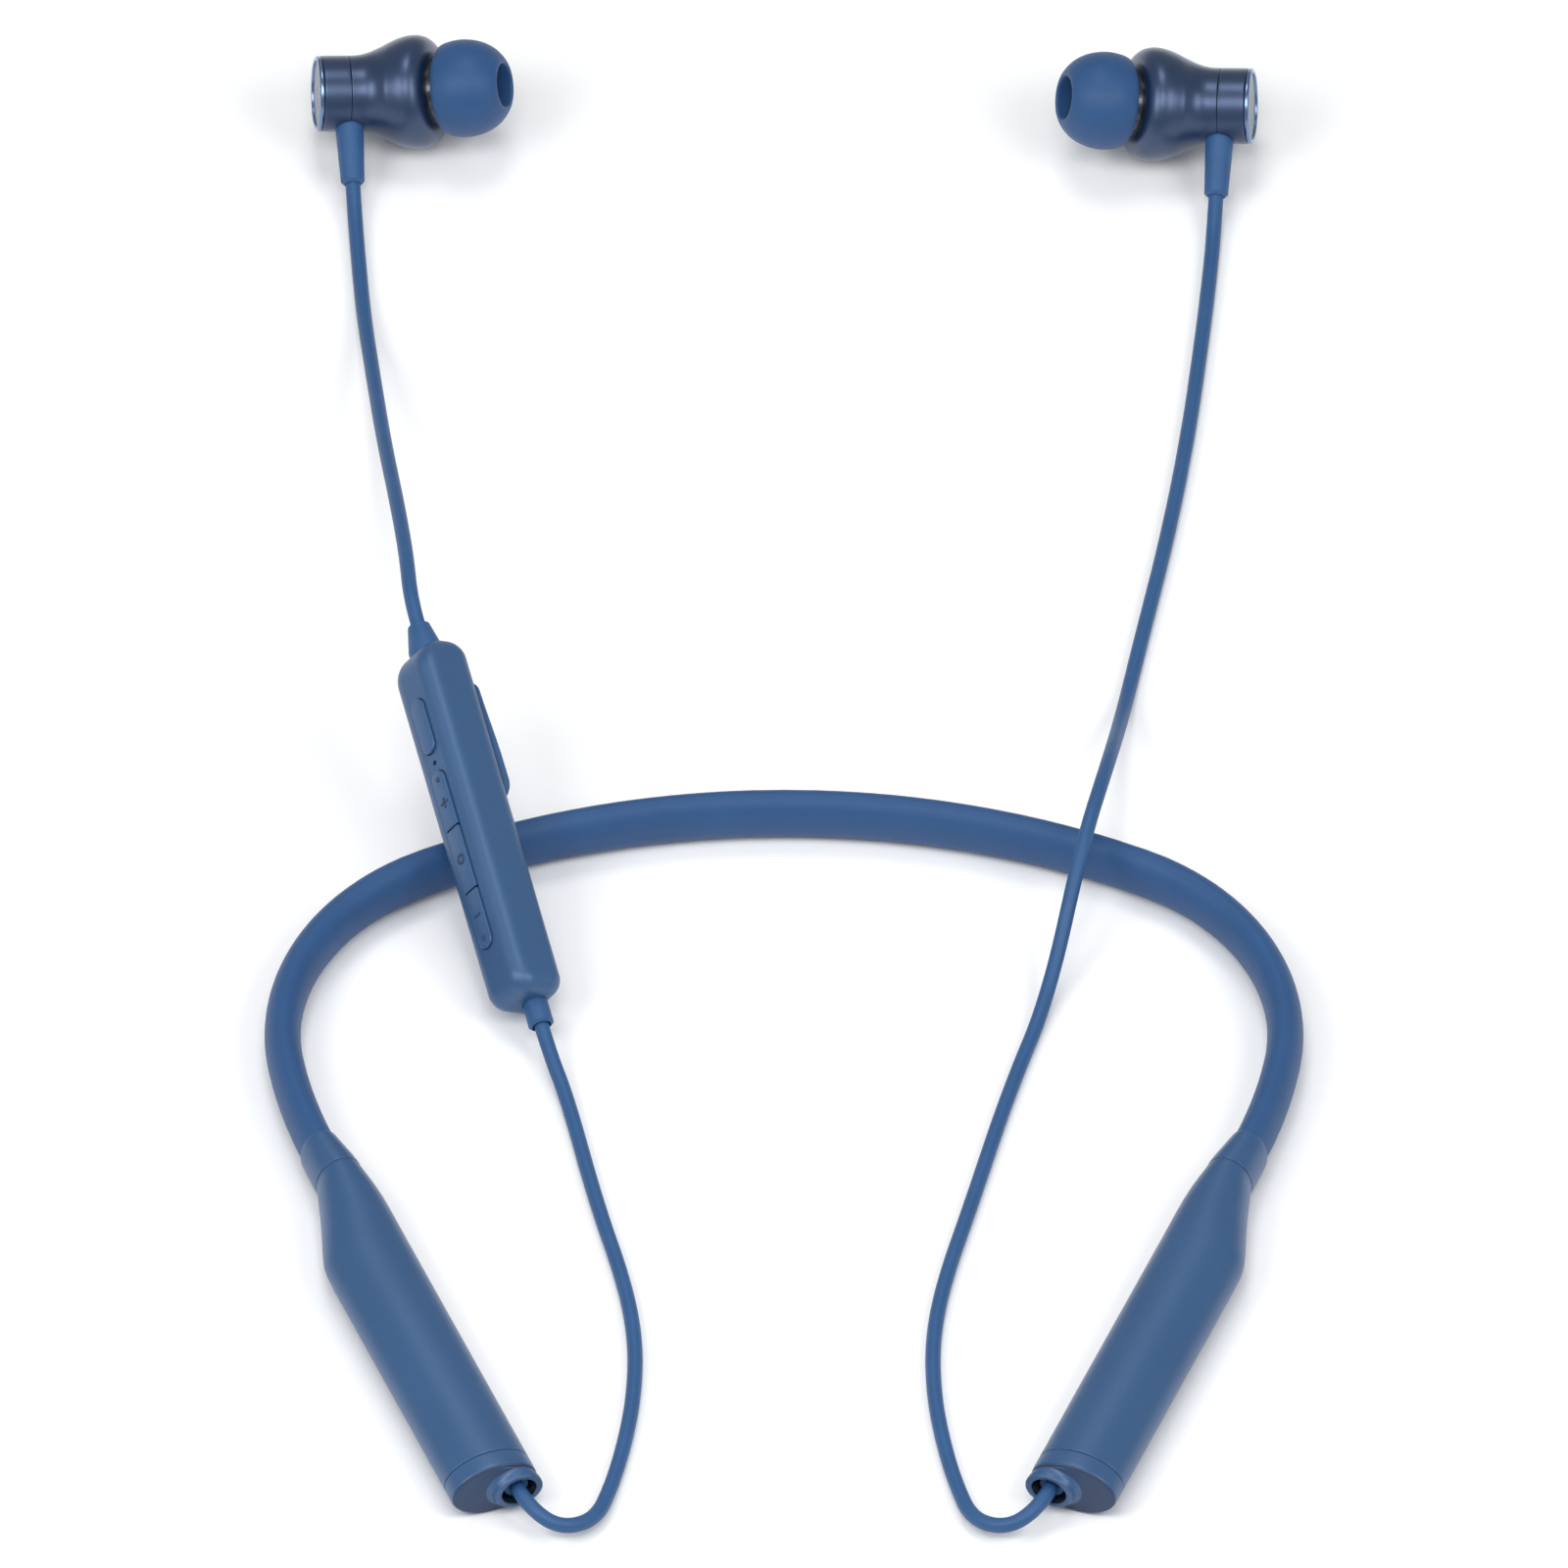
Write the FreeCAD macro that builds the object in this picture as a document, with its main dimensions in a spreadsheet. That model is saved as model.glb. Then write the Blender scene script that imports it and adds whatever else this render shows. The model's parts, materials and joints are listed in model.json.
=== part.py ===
"""Neckband earphones: a flexible neckband with two battery pods, a key remote on the left cord and two
earbuds, laid flat on a table. Millimetres, +Z up, the table at Z = 0."""
import FreeCAD, Part
import math
import os
import re
import Sketcher
from FreeCAD import Placement, Rotation, Vector

SIZES = [
    # neckband, half of its plan from the middle of the back outwards
    ("band_back_y", -7.2, "middle of the neckband's back"),
    ("back_radius", 106.0, "plan radius behind the neck"),
    ("back_sweep", 26.3, "degrees"),
    ("shoulder_radius", 33.2, "plan radius at the side of the neck"),
    ("shoulder_sweep", 73.4, "degrees"),
    ("side_radius", 76.0, "plan radius towards the pod"),
    ("side_sweep", 12.5, "degrees"),
    ("band_width", 4.75, "silicone sleeve, seen from above"),
    ("band_height", 7.3, "silicone sleeve, top to bottom"),
    ("band_plug", 4.5, "how far the sleeve goes into the collar"),
    ("wire_diameter", 1.0, "spring wire in the sleeve"),
    ("lead_diameter", 1.2, "bundle of leads in the sleeve"),
    ("channel_offset", 1.5, "channels above and below the sleeve's middle"),
    ("channel_gap", 0.08, "clearance of wire and leads in their channels"),
    ("wire_tail", 7.0, "bare wire and leads beyond the sleeve's end"),
    # pods
    ("pod_width", 11.9, "barrel, seen from above"),
    ("pod_height", 8.2, "barrel, off the table"),
    ("pod_length", 56.4, "barrel, seam to seam"),
    ("pod_offset", 1.5, "pod axis outside the end of the neckband"),
    ("pod_wall", 1.1, "barrel wall"),
    ("seam_inner", 5.2, "upper seam, inner edge from the axis"),
    ("seam_outer", 1.35, "upper seam, outer edge from the axis"),
    ("flare_length", 15.4, "from the upper seam to the full width"),
    ("flare_bore", 4.2, "passage from the collar into the barrel, across"),
    ("flare_bore_height", 6.6, "that passage, top to bottom"),
    ("collar_length", 5.9, "collar, mouth to seam"),
    ("collar_lip", 0.35, "collar wall round the sleeve at its mouth"),
    ("fit_gap", 0.05, "radial clearance of parts that plug together"),
    ("cap_length", 2.9, "end cap beyond the lower seam"),
    ("cap_spigot", 3.0, "end cap inside the barrel"),
    ("cap_round", 0.5, "rounding of the end cap's edge"),
    ("boss_reach", 4.5, "cord boss beyond the lower seam"),
    ("boss_width", 6.8, "cord boss at its face"),
    ("boss_height", 5.4, "cord boss at its face"),
    ("boss_offset", 2.7, "cord boss towards the inside of the pod"),
    ("bushing_bore", 3.4, "bore for the cord bushing"),
    ("cord_hole", 3.9, "wider mouth of that bore"),
    ("hole_depth", 1.2, "depth of the mouth down to the bushing"),
    ("cell_length", 31.0, "battery cell"),
    ("cell_width", 7.4, "battery cell"),
    ("cell_thickness", 3.6, "battery cell"),
    ("board_length", 5.4, "protection board"),
    ("board_thickness", 0.6, "circuit boards"),
    ("anchor_diameter", 2.0, "crimp on the end of the spring wire"),
    ("anchor_length", 4.0, "crimp on the end of the spring wire"),
    # cords
    ("cord_diameter", 2.0, "all cords"),
    ("cord_exit", 4.2, "straight stretch outside a strain relief"),
    # earbuds
    ("rear_diameter", 10.2, "rear cylinder of the bud"),
    ("cap_plate", 0.6, "plate of the back cap"),
    ("bud_seam", 4.3, "back face to the seam of the two housings"),
    ("neck_end", 5.4, "back face to the start of the flare"),
    ("flare_share", 0.445, "length of the flare over the bulb's diameter"),
    ("bulb_diameter", 15.5, "widest part of the bud"),
    ("nozzle_angle", 28.3, "nozzle axis from the bud's axis, degrees"),
    ("front_reach", 4.4, "bulb centre to its front face"),
    ("front_round", 3.0, "rounding of the front edge"),
    ("bud_wall", 0.8, "housing wall"),
    ("ring_diameter", 9.3, "black ring behind the ear tip"),
    ("ring_thickness", 0.9, "black ring behind the ear tip"),
    ("nozzle_diameter", 5.2, "nozzle tube"),
    ("nozzle_bore", 3.4, "sound bore"),
    ("nozzle_reach", 4.6, "nozzle tube beyond the ring"),
    ("bead_diameter", 5.9, "bead that holds the ear tip"),
    ("bead_length", 0.9, "bead that holds the ear tip"),
    ("tip_gap", 0.08, "radial clearance between the bead and the ear tip"),
    ("tip_diameter", 13.2, "ear tip"),
    ("tip_length", 8.7, "ear tip"),
    ("tip_mouth", 6.0, "opening of the ear tip"),
    ("tip_wall", 0.7, "dome of the ear tip"),
    ("tip_sleeve", 7.6, "outside of the sleeve inside the ear tip"),
    ("tip_standoff", 0.15, "ear tip clear of the black ring"),
    ("driver_diameter", 9.6, "dynamic driver"),
    ("driver_depth", 3.0, "dynamic driver"),
    ("magnet_diameter", 6.0, "magnet behind the back cap"),
    ("magnet_depth", 1.0, "magnet behind the back cap"),
    ("relief_root", 3.9, "strain relief at the bud"),
    ("relief_tip", 3.2, "strain relief at the cord"),
    ("relief_length", 7.9, "strain relief outside the bud"),
    ("relief_turn", 77.0, "strain relief from the nozzle's side, degrees about the bud's axis"),
    # remote
    ("remote_length", 54.6, "end to end"),
    ("remote_width", 8.2, "across the keys"),
    ("remote_depth", 8.2, "keys to back"),
    ("remote_round", 2.3, "rounding of its long edges"),
    ("top_key_round", 4.7, "rounding of the top end towards the keys"),
    ("top_back_round", 2.9, "rounding of the top end towards the back"),
    ("foot_round", 2.8, "rounding of the bottom end"),
    ("remote_wall", 0.8, "wall of both covers"),
    ("remote_split", 1.75, "parting line in front of the middle"),
    ("key_width", 2.6, "all keys"),
    ("key_proud", 0.35, "keys above the front cover"),
    ("key_travel", 0.25, "travel of a key"),
    ("key_gap", 0.12, "gap round the keys"),
    ("key_divide", 0.25, "gap between two keys of the row"),
    ("mode_start", 8.3, "top end to the mode key"),
    ("mode_length", 8.2, "mode key"),
    ("row_start", 19.4, "top end to the row of three keys"),
    ("outer_key", 8.6, "plus and minus keys"),
    ("centre_key", 9.4, "middle key"),
    ("mic_place", 18.0, "top end to the microphone hole"),
    ("mic_hole", 0.7, "microphone hole"),
    ("switch_size", 2.4, "tact switches"),
    ("switch_height", 0.8, "tact switches"),
    ("board_width", 5.6, "circuit board"),
    ("board_margin", 5.0, "remote's ends to the circuit board"),
    ("flange_thickness", 0.5, "flange under a key"),
    ("mic_width", 2.4, "microphone"),
    ("mic_length", 1.8, "microphone"),
    ("mic_height", 1.0, "microphone"),
    ("chip_place", 30.0, "top end to the radio chip"),
    ("chip_height", 0.9, "radio chip"),
    ("plug_depth", 0.6, "flap's plug inside the rear cover"),
    ("port_skin", 0.3, "sheet of the USB receptacle"),
    ("flap_start", 5.6, "top end to the port flap"),
    ("flap_length", 17.8, "port flap"),
    ("flap_width", 6.4, "port flap"),
    ("flap_proud", 1.2, "port flap above the rear cover"),
    ("port_length", 7.5, "USB receptacle"),
    ("port_height", 2.5, "USB receptacle"),
    ("port_depth", 4.5, "USB receptacle"),
    ("chip_size", 4.0, "radio chip"),
    ("upper_relief_root", 4.6, "strain relief at the top of the remote"),
    ("upper_relief_tip", 3.0, "its outer end"),
    ("upper_relief_length", 3.6, "its length outside"),
    ("lower_sleeve_diameter", 3.4, "sleeve at the bottom of the remote"),
    ("lower_sleeve_length", 3.4, "its length outside"),
    ("lower_sleeve_depth", 1.2, "hollow in the end of that sleeve"),
    ("lower_sleeve_offset", 1.0, "that sleeve off the middle, towards the back"),
]

# Where the loose pieces lie on the table: the outer ends of the two strain reliefs, the axes of bud and
# nozzle of the left bud (the right one is its mirror image), and the bottom end of the remote.
LEFT_BUD_END = Vector(-57.7, 112.6, 3.2)
RIGHT_BUD_END = Vector(57.8, 110.2, 3.2)
BUD_AXIS = Vector(0.988, 0.11, -0.09)
NOZZLE_AXIS = Vector(0.947, -0.178, 0.269)
REMOTE_FOOT = Vector(-33.3, -43.4, 5.2)
REMOTE_YAW = 15.2
REMOTE_PITCH = 15.5
REMOTE_ROLL = 58.7

# Points of the cords between their two ends, chosen by hand. Every cord leaves its fitting straight.
RIGHT_UPPER_RUN = [
    (57.0, 98.8, 1.0), (55.8, 85.8, 1.0), (53.6, 65.8, 1.0), (50.7, 46.8, 1.0), (47.4, 29.3, 1.0),
    (44.6, 13.8, 1.0), (42.6, -6.2, 12.8), (39.1, -21.2, 12.8), (34.6, -38.2, 1.0), (29.4, -55.2, 1.0),
]
LEFT_UPPER_RUN = [
    (-56.9, 100.8, 1.0), (-56.1, 89.8, 1.2), (-54.7, 74.8, 4.6), (-53.0, 55.8, 10.6), (-51.0, 36.8, 17.4),
    (-49.7, 23.8, 20.9),
]
LEFT_LOWER_START = (-28.2, -57.0, 1.0)
LOWER_RUN = [
    (24.4, -75.8, 1.0), (20.7, -90.2, 1.0), (19.2, -100.7, 1.0), (19.4, -110.7, 1.0), (20.6, -119.2, 1.0),
    (22.2, -126.6, 1.0), (24.3, -133.6, 1.7), (29.0, -136.3, 3.0),
]

doc = FreeCAD.newDocument("neckband_earphones")
sheet = doc.addObject("Spreadsheet::Sheet", "Sizes")
for row, (alias, value, note) in enumerate(SIZES, start=1):
    sheet.set(f"A{row}", alias)
    sheet.set(f"B{row}", str(value))
    sheet.set(f"C{row}", note)
    sheet.setAlias(f"B{row}", alias)
doc.recompute()
ALIASES = {alias for alias, _, _ in SIZES}
nodes = []


# ---- small helpers -------------------------------------------------------------------------------

def bound(text):
    """An expression in the sheet's own words, as other objects of the document read it."""
    return re.sub(r"[A-Za-z_]\w*", lambda m: f"Sizes.{m[0]}" if m[0] in ALIASES else m[0], text)


def number(text):
    """The value of such an expression."""
    return float(sheet.evalExpression(text))


def frame(origin, z_axis, x_axis):
    """A placement with its own Z along z_axis and its X as near x_axis as it can be."""
    z_dir = Vector(z_axis).normalize()
    y_dir = z_dir.cross(x_axis).normalize()
    return Placement(origin, Rotation(y_dir.cross(z_dir), y_dir, z_dir, "ZXY"))


def new_body(label, placement=None):
    body = doc.addObject("PartDesign::Body", label)
    body.Label = label
    if placement:
        body.Placement = placement
    nodes.append(body)
    return body


def sketch_on(body, plane, lift="0", shift=("0", "0"), turn="0"):
    """An empty sketch on an origin plane of the body, lifted off it, shifted and turned in it."""
    sketch = body.newObject("Sketcher::SketchObject", body.Label + "_sketch")
    sketch.AttachmentSupport = [(next(f for f in body.Origin.OriginFeatures if f.Role == plane), "")]
    sketch.MapMode = "FlatFace"
    sketch.AttachmentOffset = Placement(Vector(), Rotation(Vector(0, 0, 1), number(turn)))
    sketch.setExpression("AttachmentOffset.Base.x", bound(shift[0]))
    sketch.setExpression("AttachmentOffset.Base.y", bound(shift[1]))
    sketch.setExpression("AttachmentOffset.Base.z", bound(lift))
    if turn != "0":
        sketch.setExpression("AttachmentOffset.Rotation.Angle", bound(turn))
    return sketch


def pin(sketch, geometry, end, x, y):
    """Ties one end of a sketch element to the place (x, y)."""
    for kind, axis, text in (("DistanceX", -2, x), ("DistanceY", -1, y)):
        value = number(text)
        if text == "0":
            sketch.addConstraint(Sketcher.Constraint("PointOnObject", geometry, end, axis))
            continue
        index = sketch.addConstraint(Sketcher.Constraint(kind, -1, 1, geometry, end, value))
        name = f"{kind}_{geometry}_{end}"
        sketch.renameConstraint(index, name)
        sketch.setExpression(f"Constraints.{name}", bound(text))


def draw(sketch, points, closed=True):
    """Lines through the points. A third value is the radius of the arc that arrives at that point:
    positive when the arc turns left, negative when it turns right."""
    spots = [Vector(number(p[0]), number(p[1]), 0) for p in points]
    count = len(points) if closed else len(points) - 1
    ends = []
    for i in range(count):
        a, b = spots[i], spots[(i + 1) % len(spots)]
        arrive = points[(i + 1) % len(points)]
        if len(arrive) == 2:
            geometry = sketch.addGeometry(Part.LineSegment(a, b), False)
            ends.append((geometry, 1, 2))
            continue
        radius = number(arrive[2])
        half = (b - a) * 0.5
        side = Vector(-half.y, half.x, 0).normalize()
        rise = math.sqrt(max(radius ** 2 - half.Length ** 2, 0.0))
        centre = a + half + side * (rise if radius > 0 else -rise)
        middle = centre + (a + half - centre).normalize() * abs(radius) if rise > 1e-9 else (
            centre + side * (-radius))
        geometry = sketch.addGeometry(Part.Arc(a, middle, b), False)
        starts_at_a = sketch.getPoint(geometry, 1).distanceToPoint(a) < 1e-6
        ends.append((geometry, 1, 2) if starts_at_a else (geometry, 2, 1))
        index = sketch.addConstraint(Sketcher.Constraint("Radius", geometry, abs(radius)))
        sketch.renameConstraint(index, f"Radius_{geometry}")
        sketch.setExpression(f"Constraints.Radius_{geometry}", bound(f"abs({arrive[2]})"))
    for i in range(count):
        pin(sketch, ends[i][0], ends[i][1], points[i][0], points[i][1])
        if closed or i + 1 < count:
            after = ends[(i + 1) % count]
            sketch.addConstraint(Sketcher.Constraint("Coincident", ends[i][0], ends[i][2], after[0], after[1]))
    if not closed:
        pin(sketch, ends[-1][0], ends[-1][2], points[-1][0], points[-1][1])
    return sketch


def ring(sketch, diameter, x="0", y="0"):
    """A circle of that diameter round (x, y)."""
    radius = number(f"({diameter}) / 2")
    centre = Vector(number(x), number(y), 0)
    geometry = sketch.addGeometry(Part.Circle(centre, Vector(0, 0, 1), radius), False)
    index = sketch.addConstraint(Sketcher.Constraint("Radius", geometry, radius))
    sketch.renameConstraint(index, f"Radius_{geometry}")
    sketch.setExpression(f"Constraints.Radius_{geometry}", bound(f"({diameter}) / 2"))
    pin(sketch, geometry, 3, x, y)
    return sketch


def oval(sketch, width, height, x="0", y="0"):
    """An ellipse of that width and height round (x, y)."""
    long_way = number(width) >= number(height)
    major, minor = (width, height) if long_way else (height, width)
    centre = Vector(number(x), number(y), 0)
    reach = Vector(number(major) / 2, 0, 0) if long_way else Vector(0, number(major) / 2, 0)
    side = Vector(0, number(minor) / 2, 0) if long_way else Vector(-number(minor) / 2, 0, 0)
    geometry = sketch.addGeometry(Part.Ellipse(centre + reach, centre + side, centre), False)
    sketch.exposeInternalGeometry(geometry)
    sketch.addConstraint(Sketcher.Constraint("Horizontal" if long_way else "Vertical", geometry + 1))
    for place, text in ((geometry + 1, major), (geometry + 2, minor)):
        index = sketch.addConstraint(Sketcher.Constraint("Distance", place, number(text)))
        sketch.renameConstraint(index, f"Across_{place}")
        sketch.setExpression(f"Constraints.Across_{place}", bound(text))
    pin(sketch, geometry, 3, x, y)
    return sketch


def feature(body, kind, profile, **options):
    made = body.newObject("PartDesign::" + kind, body.Label + "_" + kind)
    made.Profile = profile
    for name, value in options.items():
        if isinstance(value, str) and name in ("Length", "Angle"):
            made.setExpression(name, bound(value))
        else:
            setattr(made, name, value)
    body.Tip = made
    return made


def turned(body, points, cut=False, axis="V_Axis", shift=("0", "0"), turn="0"):
    """A full turn of an outline drawn in the XZ plane, about the sketch's own vertical axis."""
    sketch = draw(sketch_on(body, "XZ_Plane", shift=shift, turn=turn), points)
    return feature(body, "Groove" if cut else "Revolution", sketch, ReferenceAxis=(sketch, [axis]), Angle=360.0)


def cylinder_points(diameter, low, high, bore=None):
    inner = f"({bore}) / 2" if bore else "0"
    return [(inner, low), (f"({diameter}) / 2", low), (f"({diameter}) / 2", high), (inner, high)]


def oval_wire(z, x, width, height, y="0"):
    """An ellipse in two halves that both start on the X side, so that lofts through several don't twist."""
    circle = Part.Circle(Vector(), Vector(0, 0, 1), 1.0)
    halves = [Part.ArcOfCircle(circle, start, start + math.pi).toShape() for start in (0.0, math.pi)]
    stretch = FreeCAD.Matrix()
    stretch.scale(number(width) / 2, number(height) / 2, 1.0)
    stretch.move(Vector(number(x), number(y), number(z)))
    return Part.Wire(halves).transformGeometry(stretch)


def oval_loft(*sections):
    """A solid through ovals: each section is (z, x, width, height) and may have a y."""
    return Part.makeLoft([oval_wire(*section) for section in sections], True, False)


def solid_node(label, shape, placement=None):
    made = doc.addObject("Part::Feature", label)
    made.Label = label
    made.Shape = shape
    if placement:
        made.Placement = placement
    nodes.append(made)
    return made


def round_edges(body, radius, keep):
    """Fillets the edges of the body for which keep(edge) is true."""
    doc.recompute()
    base = body.Tip
    names = [f"Edge{i}" for i, edge in enumerate(base.Shape.Edges, start=1) if keep(edge)]
    made = body.newObject("PartDesign::Fillet", body.Label + "_Fillet")
    made.Base = (base, names)
    made.setExpression("Radius", bound(radius))
    body.Tip = made
    return made


def box(label, size, middle, base, placement=None):
    """A Part box, size (x, y, z), with its middle at middle in x and y and its low face at base."""
    made = doc.addObject("Part::Box", label)
    made.Label = label
    for name, text in zip(("Length", "Width", "Height"), size):
        made.setExpression(name, bound(text))
    corner = Vector(number(f"{middle[0]} - ({size[0]}) / 2"), number(f"{middle[1]} - ({size[1]}) / 2"),
                    number(base))
    local = Placement(corner, Rotation())
    made.Placement = placement.multiply(local) if placement else local
    return made


def keep_node(obj, label):
    obj.Label = label
    nodes.append(obj)
    return obj


# ---- neckband ------------------------------------------------------------------------------------

def band_path():
    """The plan of half the neckband, from the middle of the back to the end of the bare wire."""
    turned_1 = "back_sweep"
    turned_2 = "(back_sweep + shoulder_sweep)"
    turned_3 = "(back_sweep + shoulder_sweep + side_sweep)"
    x, y = "back_radius * sin(back_sweep)", "band_back_y - back_radius * (1 - cos(back_sweep))"
    points = [("0", "band_back_y"), (x, y, "-back_radius")]
    for radius, before, after in (("shoulder_radius", turned_1, turned_2), ("side_radius", turned_2, turned_3)):
        x += f" + {radius} * (sin({after}) - sin({before}))"
        y += f" + {radius} * (cos({after}) - cos({before}))"
        points.append((x, y, f"-{radius}"))
    return points, turned_3


def band_run(label, beyond, profile):
    """A piece that follows the whole neckband and ends a little beyond the collars' mouths."""
    body = new_body(label)
    body.Placement.Base.z = number("pod_height / 2")
    points, heading = band_path()
    x, y = points[-1][0], points[-1][1]
    points.append((f"{x} + ({beyond}) * cos({heading})", f"{y} - ({beyond}) * sin({heading})"))
    path = draw(sketch_on(body, "XY_Plane"), points, closed=False)
    section = sketch_on(body, "YZ_Plane")
    profile(section)
    half = feature(body, "AdditivePipe", section, Spine=path)
    mirror = body.newObject("PartDesign::Mirrored", label + "_mirror")
    mirror.Originals = [half]
    mirror.MirrorPlane = (next(f for f in body.Origin.OriginFeatures if f.Role == "YZ_Plane"), [""])
    body.Tip = mirror
    return body


def sleeve_profile(sketch):
    oval(sketch, "band_width", "band_height", "band_back_y")
    ring(sketch, "wire_diameter + 2 * channel_gap", "band_back_y", "-channel_offset")
    ring(sketch, "lead_diameter + 2 * channel_gap", "band_back_y", "channel_offset")


band_run("neckband_sleeve", "band_plug", sleeve_profile)
band_run("spring_wire", "band_plug + wire_tail",
         lambda sketch: ring(sketch, "wire_diameter", "band_back_y", "-channel_offset"))
band_run("link_leads", "band_plug + wire_tail",
         lambda sketch: ring(sketch, "lead_diameter", "band_back_y", "channel_offset"))


# ---- pods ----------------------------------------------------------------------------------------

def pod_frame(side):
    """Pod axis along Z from the upper seam to the end cap, X towards the outside of the neckband."""
    points, heading = band_path()
    turn = math.radians(number(heading))
    along = Vector(side * math.cos(turn), -math.sin(turn), 0)
    outward = Vector(side * math.sin(turn), math.cos(turn), 0)
    mouth = Vector(side * number(points[-1][0]), number(points[-1][1]), number("pod_height / 2"))
    origin = mouth + along * number("collar_length") + outward * number("pod_offset")
    return frame(origin, along, outward)


def make_collar(name, place):
    """The moulded end that grips the sleeve. It widens from the sleeve's oval to the barrel's seam."""
    seam_x, seam_width = "(seam_outer - seam_inner) / 2", "seam_outer + seam_inner"
    mouth_width = "band_width + 2 * collar_lip"
    collar = oval_loft(
        ("-collar_length", "-pod_offset", mouth_width, "band_height + 2 * collar_lip"),
        ("-collar_length / 2", f"({seam_x} - pod_offset) / 2", f"({mouth_width} + {seam_width}) / 2 + 0.2",
         "pod_height - 0.05"),
        ("0", seam_x, seam_width, "pod_height"))
    socket = ("-pod_offset", "band_width + 2 * fit_gap", "band_height + 2 * fit_gap")
    throat = ("-pod_offset", "band_width - 1", "band_height - 1.4")
    socket_floor = "band_plug + fit_gap - collar_length"
    collar = collar.cut(oval_loft(("-collar_length - 1", *socket), (socket_floor, *socket)))
    collar = collar.cut(oval_loft(("-collar_length", *throat), ("1", *throat)))
    solid_node(f"{name}_pod_collar", collar, place)


def make_barrel(name, place):
    """The pod's housing: a flare on the outside of the curve, then a straight oval tube."""
    half = "pod_width / 2"
    flare = [("0", "seam_outer", "seam_inner"),
             ("flare_length * 0.36", f"seam_outer + ({half} - seam_outer) * 0.34", half),
             ("flare_length * 0.67", f"seam_outer + ({half} - seam_outer) * 0.71", half),
             ("flare_length", half, half)]
    barrel = oval_loft(*[(z, f"({outer} - ({inner})) / 2", f"{outer} + {inner}", "pod_height")
                         for z, outer, inner in flare])
    full = ("0", "pod_width", "pod_height")
    barrel = barrel.fuse(oval_loft(("flare_length", *full), ("pod_length", *full)))
    bore = ("0", "pod_width - 2 * pod_wall", "pod_height - 2 * pod_wall")
    barrel = barrel.cut(oval_loft(("flare_length", *bore), ("pod_length + 1", *bore)))
    passage = ("(seam_outer - seam_inner) / 2", "flare_bore", "flare_bore_height")
    barrel = barrel.cut(oval_loft(("-1", *passage), ("flare_length + 1", *passage)))
    solid_node(f"{name}_pod_barrel", barrel, place)


def make_cap(name, place):
    """The end cap with its spigot, and the boss on its inner half that the cord leaves through."""
    full = ("0", "pod_width", "pod_height")
    slab = oval_loft(("pod_length", *full), ("pod_length + cap_length", *full))
    rim = [edge for edge in slab.Edges if edge.BoundBox.ZMin > number("pod_length + cap_length") - 0.01]
    slab = slab.makeFillet(number("cap_round"), rim)
    inside = "- 2 * pod_wall - 2 * fit_gap"
    spigot = ("0", f"pod_width {inside}", f"pod_height {inside}")
    boss = oval_loft(
        ("pod_length", "-boss_offset + 0.5", "boss_width + 0.6", "pod_height - 0.8"),
        ("pod_length + cap_length", "-boss_offset + 0.1", "boss_width + 0.3", "boss_height + 1.2"),
        ("pod_length + boss_reach", "-boss_offset", "boss_width", "boss_height"))
    cap = slab.fuse([boss, oval_loft(("pod_length - cap_spigot", *spigot), ("pod_length + 0.5", *spigot))])
    for low, diameter in (("-cap_spigot - 1", "bushing_bore"), ("boss_reach - hole_depth", "cord_hole")):
        cap = cap.cut(oval_loft((f"pod_length + {low}", "-boss_offset", diameter, diameter),
                                ("pod_length + boss_reach + 1", "-boss_offset", diameter, diameter)))
    solid_node(f"{name}_pod_cap", cap, place)


def make_pod(name, side):
    place = pod_frame(side)
    make_collar(name, place)
    make_barrel(name, place)
    make_cap(name, place)

    bushing = new_body(f"{name}_cord_bushing", place)
    inner_end, outer_end = "pod_length - cap_spigot - 1", "pod_length + boss_reach - hole_depth"
    flange, shank = "bushing_bore / 2 + 0.4", "bushing_bore / 2 - fit_gap"
    turned(bushing, [("0", inner_end), (flange, inner_end), (flange, f"{inner_end} + 0.9"),
                     (shank, f"{inner_end} + 0.9"), (shank, outer_end), ("0", outer_end)],
           shift=("-boss_offset", "0"))

    anchor = new_body(f"{name}_wire_anchor", place)
    wire_y = "channel_offset" if side < 0 else "-channel_offset"
    crimp = sketch_on(anchor, "XY_Plane", lift="band_plug + wire_tail - collar_length - anchor_length")
    ring(crimp, "anchor_diameter", "-pod_offset", wire_y)
    ring(crimp, "wire_diameter", "-pod_offset", wire_y)
    feature(anchor, "Pad", crimp, Length="anchor_length")

    cell_start = "pod_length - cap_spigot - 1.2 - cell_length"
    block = box(f"{name}_cell_block", ("cell_width", "cell_thickness", "cell_length"), ("0", "0"), cell_start,
                place)
    doc.recompute()
    cell = doc.addObject("Part::Fillet", f"{name}_battery_cell")
    cell.Base = block
    cell.Edges = [(edge, 0.5, 0.5) for edge in range(1, 13)]
    keep_node(cell, f"{name}_battery_cell")
    board = box(f"{name}_cell_board", ("cell_width - 1", "board_thickness", "board_length"), ("0", "0"),
                f"{cell_start} - board_length - fit_gap", place)
    keep_node(board, f"{name}_cell_board")
    return place


pods = {"left": make_pod("left", -1), "right": make_pod("right", 1)}


# ---- earbuds -------------------------------------------------------------------------------------

BULB_CENTRE = "(neck_end + flare_share * bulb_diameter)"


def bud_ring(height, diameter, tilt):
    """A circle round the bud's axis, its plane turned by tilt degrees towards the nozzle."""
    ring_wire = oval_wire(height, "0", diameter, diameter)
    ring_wire.rotate(Vector(0, 0, number(height)), Vector(0, 1, 0), number(tilt))
    return ring_wire


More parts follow.
